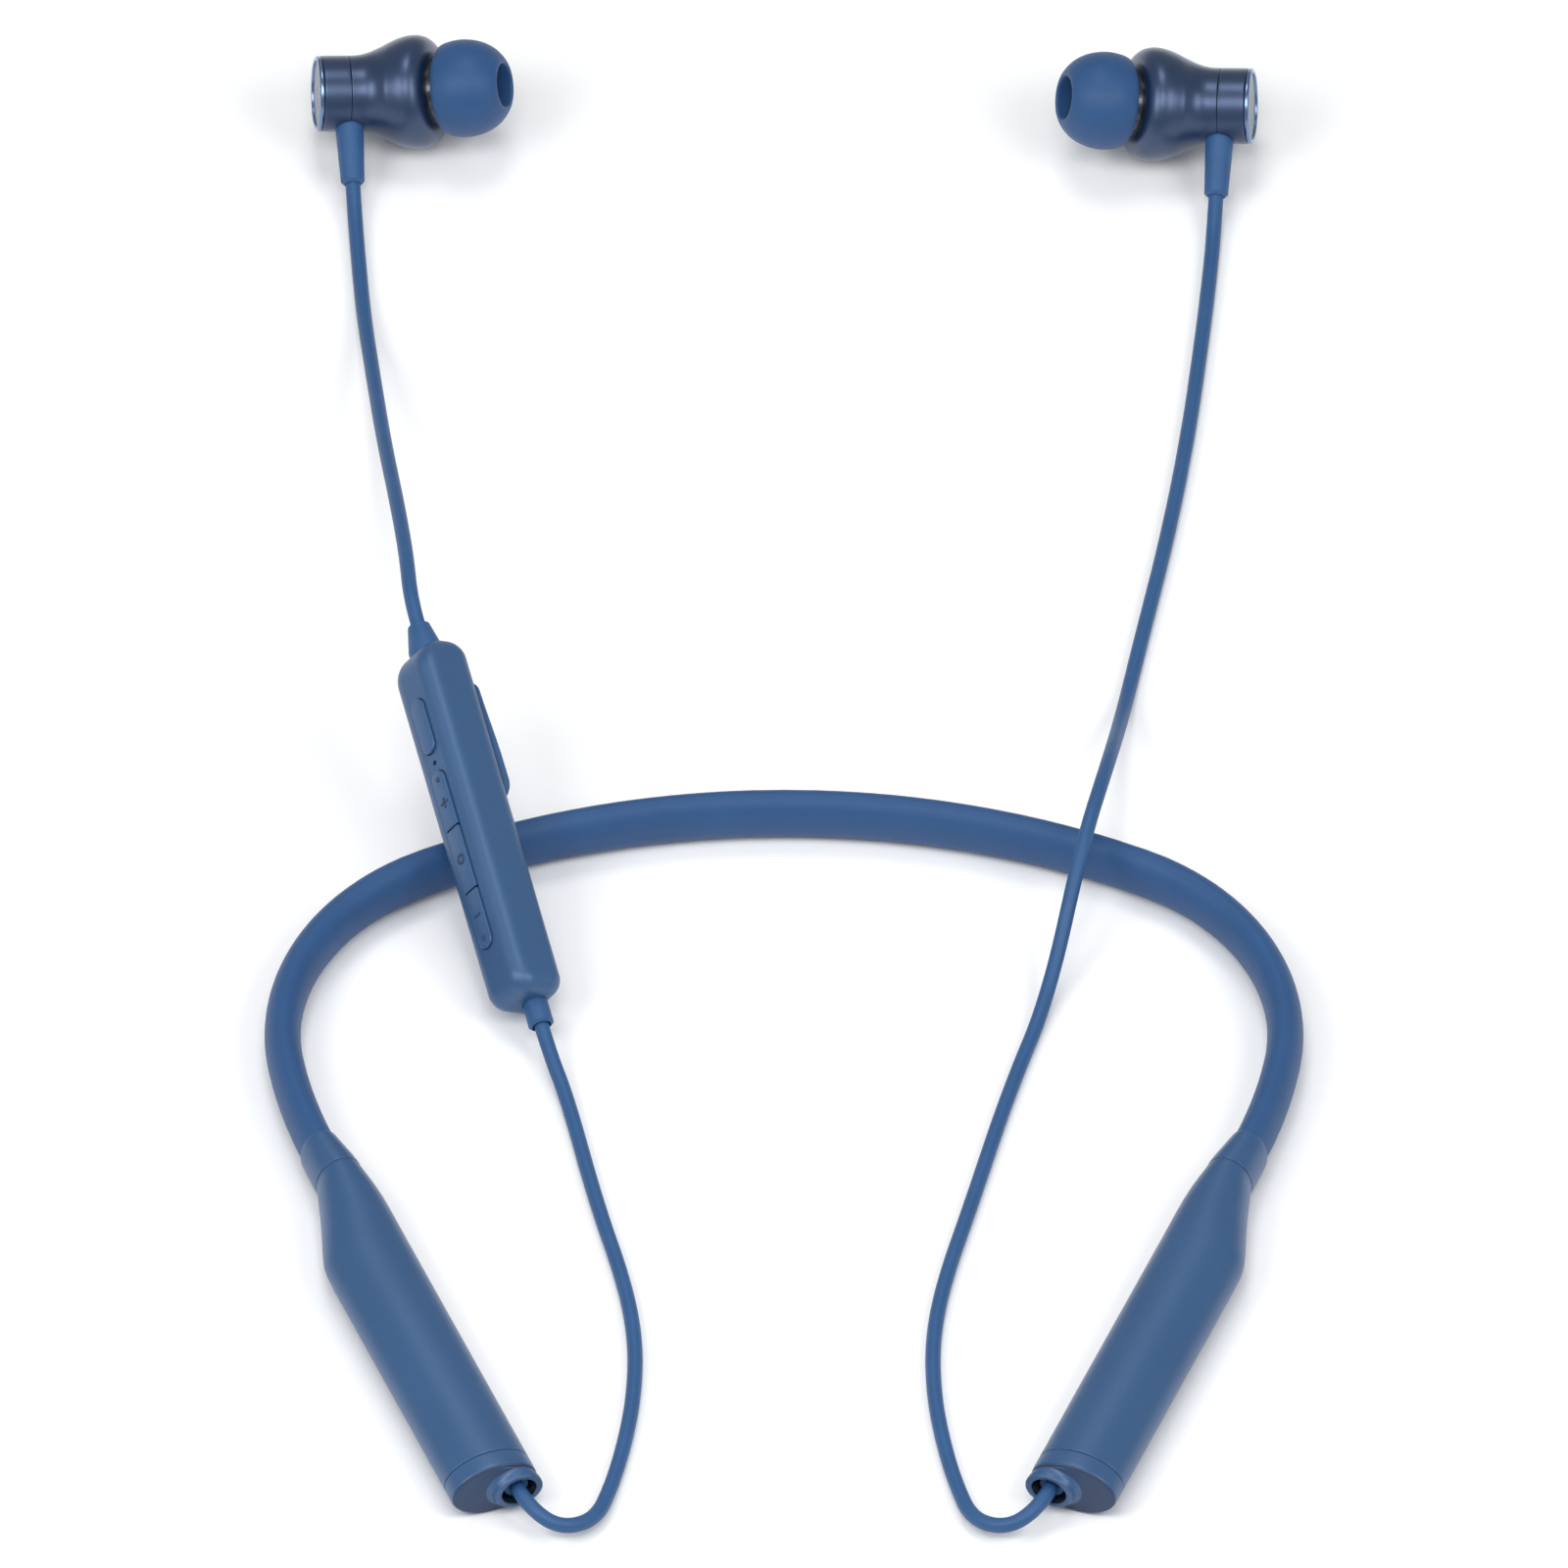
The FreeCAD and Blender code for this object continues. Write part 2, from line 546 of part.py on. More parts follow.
def on_nozzle(diameter, low, high):
    """A cylinder on the nozzle's axis, low and high measured from the bulb's centre."""
    axis = Rotation(Vector(0, 1, 0), number("nozzle_angle")).multVec(Vector(0, 0, 1))
    centre = Vector(0, 0, number(BULB_CENTRE))
    return Part.makeCylinder(number(diameter) / 2, number(high) - number(low), centre + axis * number(low), axis)


def front_housing(relief_turn):
    """The flare from the round rear to the bulb, which leans over towards the nozzle, hollow inside."""
    neck = "flare_share * bulb_diameter"
    swell = "bulb_diameter - rear_diameter"
    flare = Part.makeLoft([bud_ring(height, diameter, tilt) for height, diameter, tilt in (
        ("bud_seam", "rear_diameter", "0"), ("neck_end", "rear_diameter", "0"),
        (f"neck_end + 0.32 * {neck}", f"rear_diameter + 0.17 * ({swell})", "0.18 * nozzle_angle"),
        (f"neck_end + 0.52 * {neck}", f"rear_diameter + 0.41 * ({swell})", "0.39 * nozzle_angle"),
        (f"neck_end + 0.74 * {neck}", f"rear_diameter + 0.72 * ({swell})", "0.66 * nozzle_angle"),
        (BULB_CENTRE, "bulb_diameter", "nozzle_angle"))], True, False)
    bulb = on_nozzle("bulb_diameter", "0", "front_reach")
    front_edge = max(bulb.Edges, key=lambda edge: edge.CenterOfMass.z)
    shell = flare.fuse(bulb.makeFillet(number("front_round"), [front_edge]))
    bore = number("rear_diameter / 2 - bud_wall")
    low, high = number("bud_seam - 1"), number(f"{BULB_CENTRE} - 2")
    relief_way = Rotation(Vector(0, 0, 1), relief_turn).multVec(Vector(1, 0, 0))
    relief_place = Vector(0, 0, number("bud_seam"))
    for tool in (Part.makeCylinder(bore, high - low, Vector(0, 0, low)),
                 on_nozzle("driver_diameter + 2 * fit_gap", "-driver_depth", "front_reach - bud_wall"),
                 on_nozzle("ring_diameter - 1.6", "0", "front_reach + 1"),
                 Part.makeCylinder(number("relief_root / 2"), number("rear_diameter"), relief_place, relief_way)):
        shell = shell.cut(tool)
    return shell


def make_bud(name, side, relief_end):
    """One earbud, hung on the outer end of its strain relief."""
    def mirrored(v):
        return Vector(-side * v.x, v.y, v.z)

    axis = mirrored(BUD_AXIS).normalize()
    nozzle_way = mirrored(NOZZLE_AXIS)
    nozzle_way = (nozzle_way - axis * nozzle_way.dot(axis)).normalize()
    relief_way = Rotation(axis, -side * number("relief_turn")).multVec(nozzle_way)
    reach = number("rear_diameter / 2 + relief_length")
    origin = relief_end - relief_way * reach - axis * number("bud_seam")
    front = frame(origin, axis, nozzle_way)
    rear = frame(origin, axis, relief_way)
    rear_radius = "rear_diameter / 2"
    tilt = dict(shift=("0", BULB_CENTRE), turn="-nozzle_angle")

    cap = new_body(f"{name}_back_cap", rear)
    turned(cap, [("0", "0"), (f"{rear_radius} - 0.35", "0"), (rear_radius, "0.35"), (rear_radius, "cap_plate"),
                 (f"{rear_radius} - bud_wall - fit_gap", "cap_plate"),
                 (f"{rear_radius} - bud_wall - fit_gap", "cap_plate + 0.6"), ("0", "cap_plate + 0.6")])
    magnet = new_body(f"{name}_magnet", rear)
    turned(magnet, cylinder_points("magnet_diameter", "cap_plate + 0.6", "cap_plate + 0.6 + magnet_depth"))

    housing = new_body(f"{name}_rear_housing", rear)
    turned(housing, cylinder_points("rear_diameter", "cap_plate", "bud_seam", "rear_diameter - 2 * bud_wall"))
    relief_hole = [("0", "0"), ("rear_diameter", "0"), ("rear_diameter", "relief_root / 2"),
                   ("0", "relief_root / 2")]
    turned(housing, relief_hole, cut=True, axis="H_Axis", shift=("0", "bud_seam"))

    solid_node(f"{name}_front_housing", front_housing(-side * number("relief_turn")), front)
    return front, rear, relief_end + relief_way * number("cord_exit"), tilt


def finish_bud(name, front, rear, tilt):
    """The pieces in and on the two housings."""
    driver = new_body(f"{name}_driver", front)
    turned(driver, cylinder_points("driver_diameter", "-driver_depth", "0"), **tilt)
    nozzle = new_body(f"{name}_nozzle", front)
    ring_top = "front_reach + ring_thickness"
    seat_radius = "ring_diameter / 2 - 0.8 - fit_gap"
    bead_base = f"{ring_top} + nozzle_reach - bead_length - 0.4"
    turned(nozzle, [
        ("nozzle_bore / 2", "front_reach - bud_wall"), (seat_radius, "front_reach - bud_wall"),
        (seat_radius, "front_reach"), ("ring_diameter / 2", "front_reach"),
        ("ring_diameter / 2", ring_top), ("nozzle_diameter / 2", ring_top), ("nozzle_diameter / 2", bead_base),
        ("bead_diameter / 2", f"{bead_base} + 0.3"), ("bead_diameter / 2", f"{bead_base} + bead_length - 0.3"),
        ("nozzle_diameter / 2", f"{bead_base} + bead_length"),
        ("nozzle_diameter / 2", f"{ring_top} + nozzle_reach"),
        ("nozzle_bore / 2 + 0.4", f"{ring_top} + nozzle_reach"),
        ("nozzle_bore / 2 + 0.4", f"{ring_top} + nozzle_reach - 0.4"),
        ("nozzle_bore / 2", f"{ring_top} + nozzle_reach - 0.4"),
    ], **tilt)
    mesh = new_body(f"{name}_sound_mesh", front)
    turned(mesh, cylinder_points("nozzle_bore + 0.8 - 2 * fit_gap", f"{ring_top} + nozzle_reach - 0.4",
                                 f"{ring_top} + nozzle_reach - 0.2"), **tilt)

    tip = new_body(f"{name}_ear_tip", front)
    base = f"{ring_top} + tip_standoff"
    sleeve_bore = "bead_diameter / 2 + tip_gap"
    sleeve_top = f"{base} + nozzle_reach + 0.6"
    turned(tip, [
        (sleeve_bore, base), ("tip_sleeve / 2", base), ("tip_sleeve / 2", f"{base} + tip_length * 0.6"),
        ("tip_diameter / 2 - tip_wall", f"{base} + tip_length * 0.42", "-4"),
        ("tip_diameter / 2 - tip_wall - 1", base, "-9"), ("tip_diameter / 2 - 1.1", base, "1.5"),
        ("tip_diameter / 2", f"{base} + tip_length * 0.36", "9"),
        ("tip_mouth / 2 + 0.35", f"{base} + tip_length", "9"),
        ("tip_mouth / 2 - 0.1", f"{base} + tip_length", "0.4"),
        (sleeve_bore, sleeve_top),
    ], **tilt)

    relief = new_body(f"{name}_bud_relief", rear)
    outer_end = "rear_diameter / 2 + relief_length"
    relief_sketch = draw(sketch_on(relief, "XZ_Plane", shift=("0", "bud_seam")), [
        ("rear_diameter / 2 - bud_wall - 0.7", "0"), (outer_end, "0"), (outer_end, "relief_tip / 2 - 0.4"),
        (f"{outer_end} - 0.4", "relief_tip / 2"), ("rear_diameter / 2", "relief_root / 2 - fit_gap"),
        ("rear_diameter / 2 - bud_wall - 0.7", "relief_root / 2 - fit_gap"),
    ])
    feature(relief, "Revolution", relief_sketch, ReferenceAxis=(relief_sketch, ["H_Axis"]), Angle=360.0)


bud_cord_points = {}
for bud_name, bud_side, bud_end in (("left", -1, LEFT_BUD_END), ("right", 1, RIGHT_BUD_END)):
    bud_front, bud_rear, cord_point, bud_tilt = make_bud(bud_name, bud_side, bud_end)
    finish_bud(bud_name, bud_front, bud_rear, bud_tilt)
    bud_cord_points[bud_name] = [bud_end, cord_point]


# ---- remote --------------------------------------------------------------------------------------

def remote_frame():
    """Z from the top end down to the bottom end, Y out of the key face, X to the side that faces up."""
    yaw, pitch, roll = (math.radians(angle) for angle in (REMOTE_YAW, REMOTE_PITCH, REMOTE_ROLL))
    upward = Vector(-math.sin(yaw) * math.cos(pitch), math.cos(yaw) * math.cos(pitch), math.sin(pitch))
    top = REMOTE_FOOT + upward * number("remote_length")
    over = (Vector(0, 0, 1) - upward * upward.z).normalize()
    left = over.cross(upward).normalize()
    keys_out = over * math.cos(roll) + left * math.sin(roll)
    return frame(top, -upward, keys_out.cross(-upward))


remote_place = remote_frame()


def rounded(sketch, x0, y0, x1, y1, low_radius, high_radius=None):
    """A rectangle with rounded corners, and another radius for its two upper corners where given."""
    low, high = low_radius, high_radius or low_radius
    return draw(sketch, [
        (f"{x0} + {low}", y0, low), (f"{x1} - {low}", y0), (x1, f"{y0} + {low}", low), (x1, f"{y1} - {high}"),
        (f"{x1} - {high}", y1, high), (f"{x0} + {high}", y1), (x0, f"{y1} - {high}", high),
        (x0, f"{y0} + {low}")])


FRONT, BACK = "remote_depth / 2", "-remote_depth / 2"
INNER_FRONT = "(remote_depth / 2 - remote_wall)"
FLANGE_BASE = f"{INNER_FRONT} - fit_gap - flange_thickness"
SWITCH_TOP = f"{FLANGE_BASE} - key_travel - fit_gap"
BOARD_TOP = f"{SWITCH_TOP} - switch_height"
BOARD_BACK = f"{BOARD_TOP} - board_thickness"
ROW_END = "row_start + 2 * outer_key + centre_key + 2 * key_divide"
SIDE_WALL = "(remote_width / 2 - remote_wall)"
HALF_KEY = "key_width / 2"


def side_outline(sketch, inset):
    """The remote seen across its keys, or its cavity: Y towards the keys, Z down to the bottom end."""
    front, back = f"({FRONT} - {inset})", f"({BACK} + {inset})"
    top, foot = inset, f"(remote_length - {inset})"
    key_round, back_round, foot_round = (
        f"({name} - {inset})" for name in ("top_key_round", "top_back_round", "foot_round"))
    return draw(sketch, [
        (back, f"{top} + {back_round}"), (f"{back} + {back_round}", top, back_round),
        (f"{front} - {key_round}", top), (front, f"{top} + {key_round}", key_round),
        (front, f"{foot} - {foot_round}"), (f"{front} - {foot_round}", foot, foot_round),
        (f"{back} + {foot_round}", foot), (back, f"{foot} - {foot_round}", foot_round)])


def cover(label, keep_front):
    """One shell of the remote: the rounded bar, cut at the parting line and hollowed."""
    body = new_body(label, remote_place)
    feature(body, "Pad", side_outline(sketch_on(body, "YZ_Plane"), "0"), Length="remote_width",
            SideType="Symmetric")
    half_width = number("remote_width / 2")
    round_edges(body, "remote_round", lambda edge: abs(abs(edge.CenterOfMass.x) - half_width) < 0.01)
    far, split = "remote_width", "remote_split"
    low, high = (f"-{far}", split) if keep_front else (split, far)
    half = draw(sketch_on(body, "XY_Plane", lift="-1"),
                [(f"-{far}", low), (far, low), (far, high), (f"-{far}", high)])
    feature(body, "Pocket", half, Reversed=True, Length="remote_length + 2")
    feature(body, "Pocket", side_outline(sketch_on(body, "YZ_Plane"), "remote_wall"),
            Length="remote_width - 2 * remote_wall", SideType="Symmetric")
    feature(body, "Pocket", ring(sketch_on(body, "XY_Plane", lift="-1"), "upper_relief_root + 2 * fit_gap"),
            Reversed=True, Length="remote_wall + 1.5")
    return body


def face_sketch(body, height):
    """A sketch that looks at the key face from a height above the remote's middle: X across, Y down it."""
    return sketch_on(body, "XZ_Plane", lift=f"-({height})")


front_cover = cover("remote_front_cover", True)
for slot_start, slot_end in (("mode_start", "mode_start + mode_length"), ("row_start", ROW_END)):
    slot = face_sketch(front_cover, f"{FRONT} + 1")
    rounded(slot, f"-{HALF_KEY} - key_gap", f"{slot_start} - key_gap", f"{HALF_KEY} + key_gap",
            f"{slot_end} + key_gap", f"({HALF_KEY} + key_gap - 0.01)")
    feature(front_cover, "Pocket", slot, Reversed=True, Length="remote_wall + 1.5")
feature(front_cover, "Pocket", ring(face_sketch(front_cover, f"{FRONT} + 1"), "mic_hole", "0", "mic_place"),
        Reversed=True, Length="remote_wall + 1.5")

rear_cover = cover("remote_rear_cover", False)
port_middle = "flap_start + flap_length / 2"
port_window = sketch_on(rear_cover, "XZ_Plane", lift="remote_depth / 2 + 1")
rounded(port_window, "-port_height / 2 - 0.5", f"{port_middle} - port_length / 2 - 0.5", "port_height / 2 + 0.5",
        f"{port_middle} + port_length / 2 + 0.5", "0.6")
feature(rear_cover, "Pocket", port_window, Length="remote_wall + 2")
sleeve_hole = ring(sketch_on(rear_cover, "XY_Plane", lift="remote_length - remote_wall - 0.5"),
                   "lower_sleeve_diameter + 2 * fit_gap", "0", "-lower_sleeve_offset")
feature(rear_cover, "Pocket", sleeve_hole, Reversed=True, Length="remote_wall + 1")


def make_key(label, start, end, top_radius, bottom_radius):
    key = new_body(label, remote_place)
    cap = face_sketch(key, f"{FRONT} + key_proud")
    rounded(cap, f"-{HALF_KEY}", start, HALF_KEY, end, top_radius, bottom_radius)
    feature(key, "Pad", cap, Length="key_proud + remote_wall + fit_gap + 0.1")
    flange = face_sketch(key, f"{INNER_FRONT} - fit_gap")
    rounded(flange, f"-{HALF_KEY} - 0.5", f"{start} + 0.4", f"{HALF_KEY} + 0.5", f"{end} - 0.4", "0.3")
    feature(key, "Pad", flange, Length="flange_thickness")


ROUND_END, SQUARE_END = f"({HALF_KEY} - 0.01)", "0.2"
plus_end = "row_start + outer_key"
centre_end = f"{plus_end} + key_divide + centre_key"
make_key("mode_key", "mode_start", "mode_start + mode_length", ROUND_END, ROUND_END)
make_key("plus_key", "row_start", plus_end, ROUND_END, SQUARE_END)
make_key("centre_key", f"{plus_end} + key_divide", centre_end, SQUARE_END, SQUARE_END)
make_key("minus_key", f"{centre_end} + key_divide", ROW_END, SQUARE_END, ROUND_END)

board = new_body("remote_board", remote_place)
feature(board, "Pad", rounded(face_sketch(board, BOARD_TOP), "-board_width / 2", "board_margin",
                              "board_width / 2", "remote_length - board_margin", "0.8"), Length="board_thickness")

KEY_MIDDLES = ("mode_start + mode_length / 2", "row_start + outer_key / 2",
               "row_start + outer_key + key_divide + centre_key / 2", f"{ROW_END} - outer_key / 2")
switches = doc.addObject("Part::Compound", "tact_switches")
switch_box = ("switch_size", "switch_height", "switch_size")
switches.Links = [box(f"switch_{i}", switch_box, ("0", f"{BOARD_TOP} + switch_height / 2"),
                      f"{middle} - switch_size / 2") for i, middle in enumerate(KEY_MIDDLES, start=1)]
switches.Placement = remote_place
keep_node(switches, "tact_switches")
keep_node(box("microphone", ("mic_width", "mic_height", "mic_length"), ("0", f"{BOARD_TOP} + mic_height / 2"),
              "mic_place - mic_length / 2", remote_place), "microphone")
keep_node(box("radio_chip", ("chip_size", "chip_height", "chip_size"), ("0", f"{BOARD_BACK} - chip_height / 2"),
              "chip_place", remote_place), "radio_chip")

port = new_body("usb_receptacle", remote_place)
feature(port, "Pad", rounded(face_sketch(port, BOARD_BACK), "-port_height / 2", f"{port_middle} - port_length / 2",
                             "port_height / 2", f"{port_middle} + port_length / 2", "0.5"), Length="port_depth")
feature(port, "Pocket", rounded(face_sketch(port, f"{BOARD_BACK} - port_depth"), "-port_height / 2 + port_skin",
                                f"{port_middle} - port_length / 2 + port_skin", "port_height / 2 - port_skin",
                                f"{port_middle} + port_length / 2 - port_skin", "0.3"), Length="port_depth - 1")

flap = new_body("port_flap", remote_place)
plate = face_sketch(flap, f"{BACK} - fit_gap")
rounded(plate, "-flap_width / 2", "flap_start", "flap_width / 2", "flap_start + flap_length", "2.2")
feature(flap, "Pad", plate, Length="flap_proud")
flap_face = -number("remote_depth / 2 + fit_gap + flap_proud")
round_edges(flap, "flap_proud * 0.7",
            lambda edge: abs(edge.BoundBox.YMin - flap_face) < 0.01 > edge.BoundBox.YLength)
plug = face_sketch(flap, f"{BACK} + plug_depth")
rounded(plug, "-port_height / 2 - 0.3", f"{port_middle} - port_length / 2 - 0.2", "port_height / 2 + 0.3",
        f"{port_middle} + port_length / 2 + 0.2", "0.5")
feature(flap, "Pad", plug, Length="plug_depth + fit_gap + 0.2")

upper = new_body("remote_upper_relief", remote_place)
turned(upper, [("0", "-upper_relief_length"), ("upper_relief_tip / 2", "-upper_relief_length"),
               ("upper_relief_root / 2", "0"), ("upper_relief_root / 2", "remote_wall + 0.5"),
               ("0", "remote_wall + 0.5")])
lower = new_body("remote_lower_sleeve", remote_place)
sleeve_end = "remote_length + lower_sleeve_length"
sleeve_sketch = draw(sketch_on(lower, "XZ_Plane", lift="lower_sleeve_offset"), [
    ("0", "remote_length - remote_wall - 0.5"), ("lower_sleeve_diameter / 2", "remote_length - remote_wall - 0.5"),
    ("lower_sleeve_diameter / 2", f"{sleeve_end} - 0.3"), ("lower_sleeve_diameter / 2 - 0.3", sleeve_end),
    ("cord_diameter / 2 + 0.25", sleeve_end), ("cord_diameter / 2 + 0.25", f"{sleeve_end} - lower_sleeve_depth"),
    ("0", f"{sleeve_end} - lower_sleeve_depth")])
feature(lower, "Revolution", sleeve_sketch, ReferenceAxis=(sleeve_sketch, ["V_Axis"]), Angle=360.0)


# ---- cords ---------------------------------------------------------------------------------------

def cord(label, points):
    """A round tube: straight runs joined by tangent arcs as large as the runs allow."""
    points = [Vector(point) for point in points]
    edges, radii, length, here = [], [], 0.0, points[0]
    for before, corner, after in zip(points, points[1:], points[2:]):
        arriving, leaving = (corner - before), (after - corner)
        turn = arriving.getAngle(leaving)
        radius = 0.45 * min(arriving.Length, leaving.Length) / math.tan(turn / 2)
        trim = radius * math.tan(turn / 2)
        start = corner - arriving.normalize() * trim
        end = corner + leaving.normalize() * trim
        inward = (leaving - arriving).normalize()
        middle = corner + inward * (radius / math.cos(turn / 2) - radius)
        edges += [Part.LineSegment(here, start).toShape(), Part.Arc(start, middle, end).toShape()]
        length += here.distanceToPoint(start) + radius * turn
        radii.append(radius)
        here = end
    edges.append(Part.LineSegment(here, points[-1]).toShape())
    length += here.distanceToPoint(points[-1])
    path = Part.Wire(edges)
    radius = number("cord_diameter / 2")
    section = Part.Wire(Part.Circle(points[0], points[1] - points[0], radius).toShape())
    tube = path.makePipeShell([section], True, False, 2)
    ratio = tube.Volume / (math.pi * radius ** 2 * length)
    print(f"{label}: {length:.1f} mm long, volume / (section x length) {ratio:.4f}, radii",
          " ".join(f"{r:.1f}" for r in radii))
    return solid_node(label, tube)


def seat(placement, x, y, z, ahead=0.0):
    """A place in a fitting's own frame, or the same place moved ahead along its Z."""
    return placement.multVec(Vector(x, y, z + ahead))


straight = number("cord_exit")
pod_exit = number("hole_depth + 2.6")
pod_face = number("pod_length + boss_reach - hole_depth")
pod_end = {name: [seat(place, -number("boss_offset"), 0, pod_face, ahead) for ahead in (pod_exit, 0.0)]
           for name, place in pods.items()}
relief_face = -number("upper_relief_length")
sleeve_floor = number(f"{sleeve_end} - lower_sleeve_depth")
sleeve_y = -number("lower_sleeve_offset")
sleeve_straight = number("lower_sleeve_depth") + straight

cord("right_cord", bud_cord_points["right"] + RIGHT_UPPER_RUN + LOWER_RUN + pod_end["right"])
cord("left_upper_cord", bud_cord_points["left"] + LEFT_UPPER_RUN
     + [seat(remote_place, 0, 0, relief_face, -straight), seat(remote_place, 0, 0, relief_face)])
cord("left_lower_cord", [seat(remote_place, 0, sleeve_y, sleeve_floor),
                         seat(remote_place, 0, sleeve_y, sleeve_floor, sleeve_straight), LEFT_LOWER_START]
     + [(-x, y, z) for x, y, z in LOWER_RUN] + pod_end["left"])


# ---- build and write -----------------------------------------------------------------------------

doc.recompute()
failed = [obj.Label for obj in doc.Objects if {"Invalid", "Error"} & set(obj.State)]
failed += [node.Label for node in nodes if node.Shape.isNull() or not node.Shape.isValid()]
if failed:
    raise RuntimeError(f"these objects failed: {failed}")
os.makedirs("parts", exist_ok=True)
for node in nodes:
    node.Shape.exportStep(f"parts/{node.Label}.step")
    print(f"{node.Label}: {node.Shape.Volume:.1f} mm3, {len(node.Shape.Solids)} solid(s)")
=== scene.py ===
# %% [markdown]
# # Neckband earphones
# A silicone neckband joins two oval battery pods. A thin cord leaves the foot of each pod: the right one
# runs straight to its earbud, and the left one passes through a bar with keys on the way. Everything lies
# on a table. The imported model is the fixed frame, so every new piece is made in metres, where it lies.

# %% Load the frame
import json
import math

import bmesh
import bpy
from mathutils import Matrix, Vector


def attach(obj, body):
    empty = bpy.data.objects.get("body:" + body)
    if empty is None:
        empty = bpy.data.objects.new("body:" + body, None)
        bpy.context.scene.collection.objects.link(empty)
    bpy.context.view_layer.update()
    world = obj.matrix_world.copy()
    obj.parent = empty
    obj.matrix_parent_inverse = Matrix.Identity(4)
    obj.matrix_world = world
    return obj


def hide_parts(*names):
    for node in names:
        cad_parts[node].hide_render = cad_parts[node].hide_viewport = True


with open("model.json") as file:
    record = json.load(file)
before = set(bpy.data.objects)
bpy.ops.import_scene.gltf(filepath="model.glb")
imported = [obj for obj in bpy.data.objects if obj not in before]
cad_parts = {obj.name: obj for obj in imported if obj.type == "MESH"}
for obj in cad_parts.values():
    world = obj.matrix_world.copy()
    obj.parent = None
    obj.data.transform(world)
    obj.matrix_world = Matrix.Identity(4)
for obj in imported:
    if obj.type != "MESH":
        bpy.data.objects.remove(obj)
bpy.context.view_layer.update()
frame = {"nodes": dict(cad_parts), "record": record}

MM = 0.001
cad = frame["nodes"]

# %% [markdown]
# The camera comes first, because the cords are judged through it. It looks down on the table at 45 degrees
# from far away with a long lens, so that lines that are parallel on the earphones stay nearly parallel.

# %% Camera
CAMERA_AIM = 2.3 * MM
CAMERA_REACH = 4588 * MM
CAMERA_TILT = math.radians(45)
camera_data = bpy.data.cameras.new("table_camera")
camera_data.lens = 800
camera_data.sensor_width = 36
camera_data.clip_end = 20
camera = bpy.data.objects.new("table_camera", camera_data)
camera.location = (0, CAMERA_AIM - CAMERA_REACH * math.sin(CAMERA_TILT), CAMERA_REACH * math.cos(CAMERA_TILT))
camera.rotation_euler = (CAMERA_TILT, 0, 0)
bpy.context.scene.collection.objects.link(camera)
bpy.context.scene.camera = camera
print("camera at", [round(value, 3) for value in camera.location])

# %% [markdown]
# A finish starts from one shader with its own fixed values, and a few noises on Object coordinates that
# drive colour, roughness and bump. Image textures would need UV maps and files; noises stay sharp at any
# distance. The helper below covers every moulded, rubbed or anodised surface, and each finish says how
# coarse its grain is in millimetres.

# %% A helper for surface finishes
def new_finish(name, roughness, **shader_values):
    """A material with a Principled shader, whose fixed values are set on its own sockets."""
    material = bpy.data.materials.new(name)
    material.use_nodes = True
    shader = material.node_tree.nodes["Principled BSDF"]
    shader.inputs["Roughness"].default_value = roughness
    for socket, value in shader_values.items():
        shader.inputs[socket.replace("_", " ")].default_value = value
    return material, shader


def add_noise(material, size, detail=2.0, stretch=(1, 1, 1)):
    """Noise on Object coordinates whose features are about size metres across."""
    nodes, links = material.node_tree.nodes, material.node_tree.links
    place = nodes.new("ShaderNodeTexCoord")
    scale = nodes.new("ShaderNodeMapping")
    scale.inputs["Scale"].default_value = stretch
    noise = nodes.new("ShaderNodeTexNoise")
    noise.inputs["Scale"].default_value = 1 / size
    noise.inputs["Detail"].default_value = detail
    links.new(place.outputs["Object"], scale.inputs["Vector"])
    links.new(scale.outputs["Vector"], noise.inputs["Vector"])
    return noise.outputs["Fac"]


def spread(material, value, low, high, start=0.3, end=0.7):
    """Maps a noise value onto low to high."""
    node = material.node_tree.nodes.new("ShaderNodeMapRange")
    material.node_tree.links.new(value, node.inputs["Value"])
    for socket, number in (("From Min", start), ("From Max", end), ("To Min", low), ("To Max", high)):
        node.inputs[socket].default_value = number
    return node.outputs["Result"]


def two_tone(material, value, colour, shift):
    """A colour that wanders a little lighter and darker with the value."""
    ramp = material.node_tree.nodes.new("ShaderNodeValToRGB")
    ramp.color_ramp.elements[0].position = 0.25
    ramp.color_ramp.elements[1].position = 0.75
    ramp.color_ramp.elements[0].color = (*[channel * (1 - shift) for channel in colour], 1)
    ramp.color_ramp.elements[1].color = (*[channel * (1 + shift) for channel in colour], 1)
    material.node_tree.links.new(value, ramp.inputs["Fac"])
    return ramp.outputs["Color"]


def grained(name, colour, roughness, grain, depth, drift=6 * MM, shift=0.06, stretch=(1, 1, 1),
            **shader_values):
    """A finish with a slow colour drift, uneven roughness and a fine grain of that size and depth."""
    material, shader = new_finish(name, roughness, **shader_values)
    links = material.node_tree.links
    slow = add_noise(material, drift, 3.0)
    fine = add_noise(material, grain, 2.0, stretch)
    links.new(two_tone(material, slow, colour, shift), shader.inputs["Base Color"])
    links.new(spread(material, fine, roughness - 0.05, roughness + 0.07), shader.inputs["Roughness"])
    bump = material.node_tree.nodes.new("ShaderNodeBump")
    bump.inputs["Distance"].default_value = depth
    bump.inputs["Strength"].default_value = 1.0
    links.new(fine, bump.inputs["Height"])
    links.new(bump.outputs["Normal"], shader.inputs["Normal"])
    return material


print("finish helpers ready")

# %% [markdown]
# The soft parts are nearly one blue in several hardnesses. The neckband and the ear tips are liquid
# silicone, matt with a trace of sheen, and the thin tips let a little light through. The cord jacket is a
# firmer elastomer with a coarser grain, and the strain reliefs are the same compound, moulded.

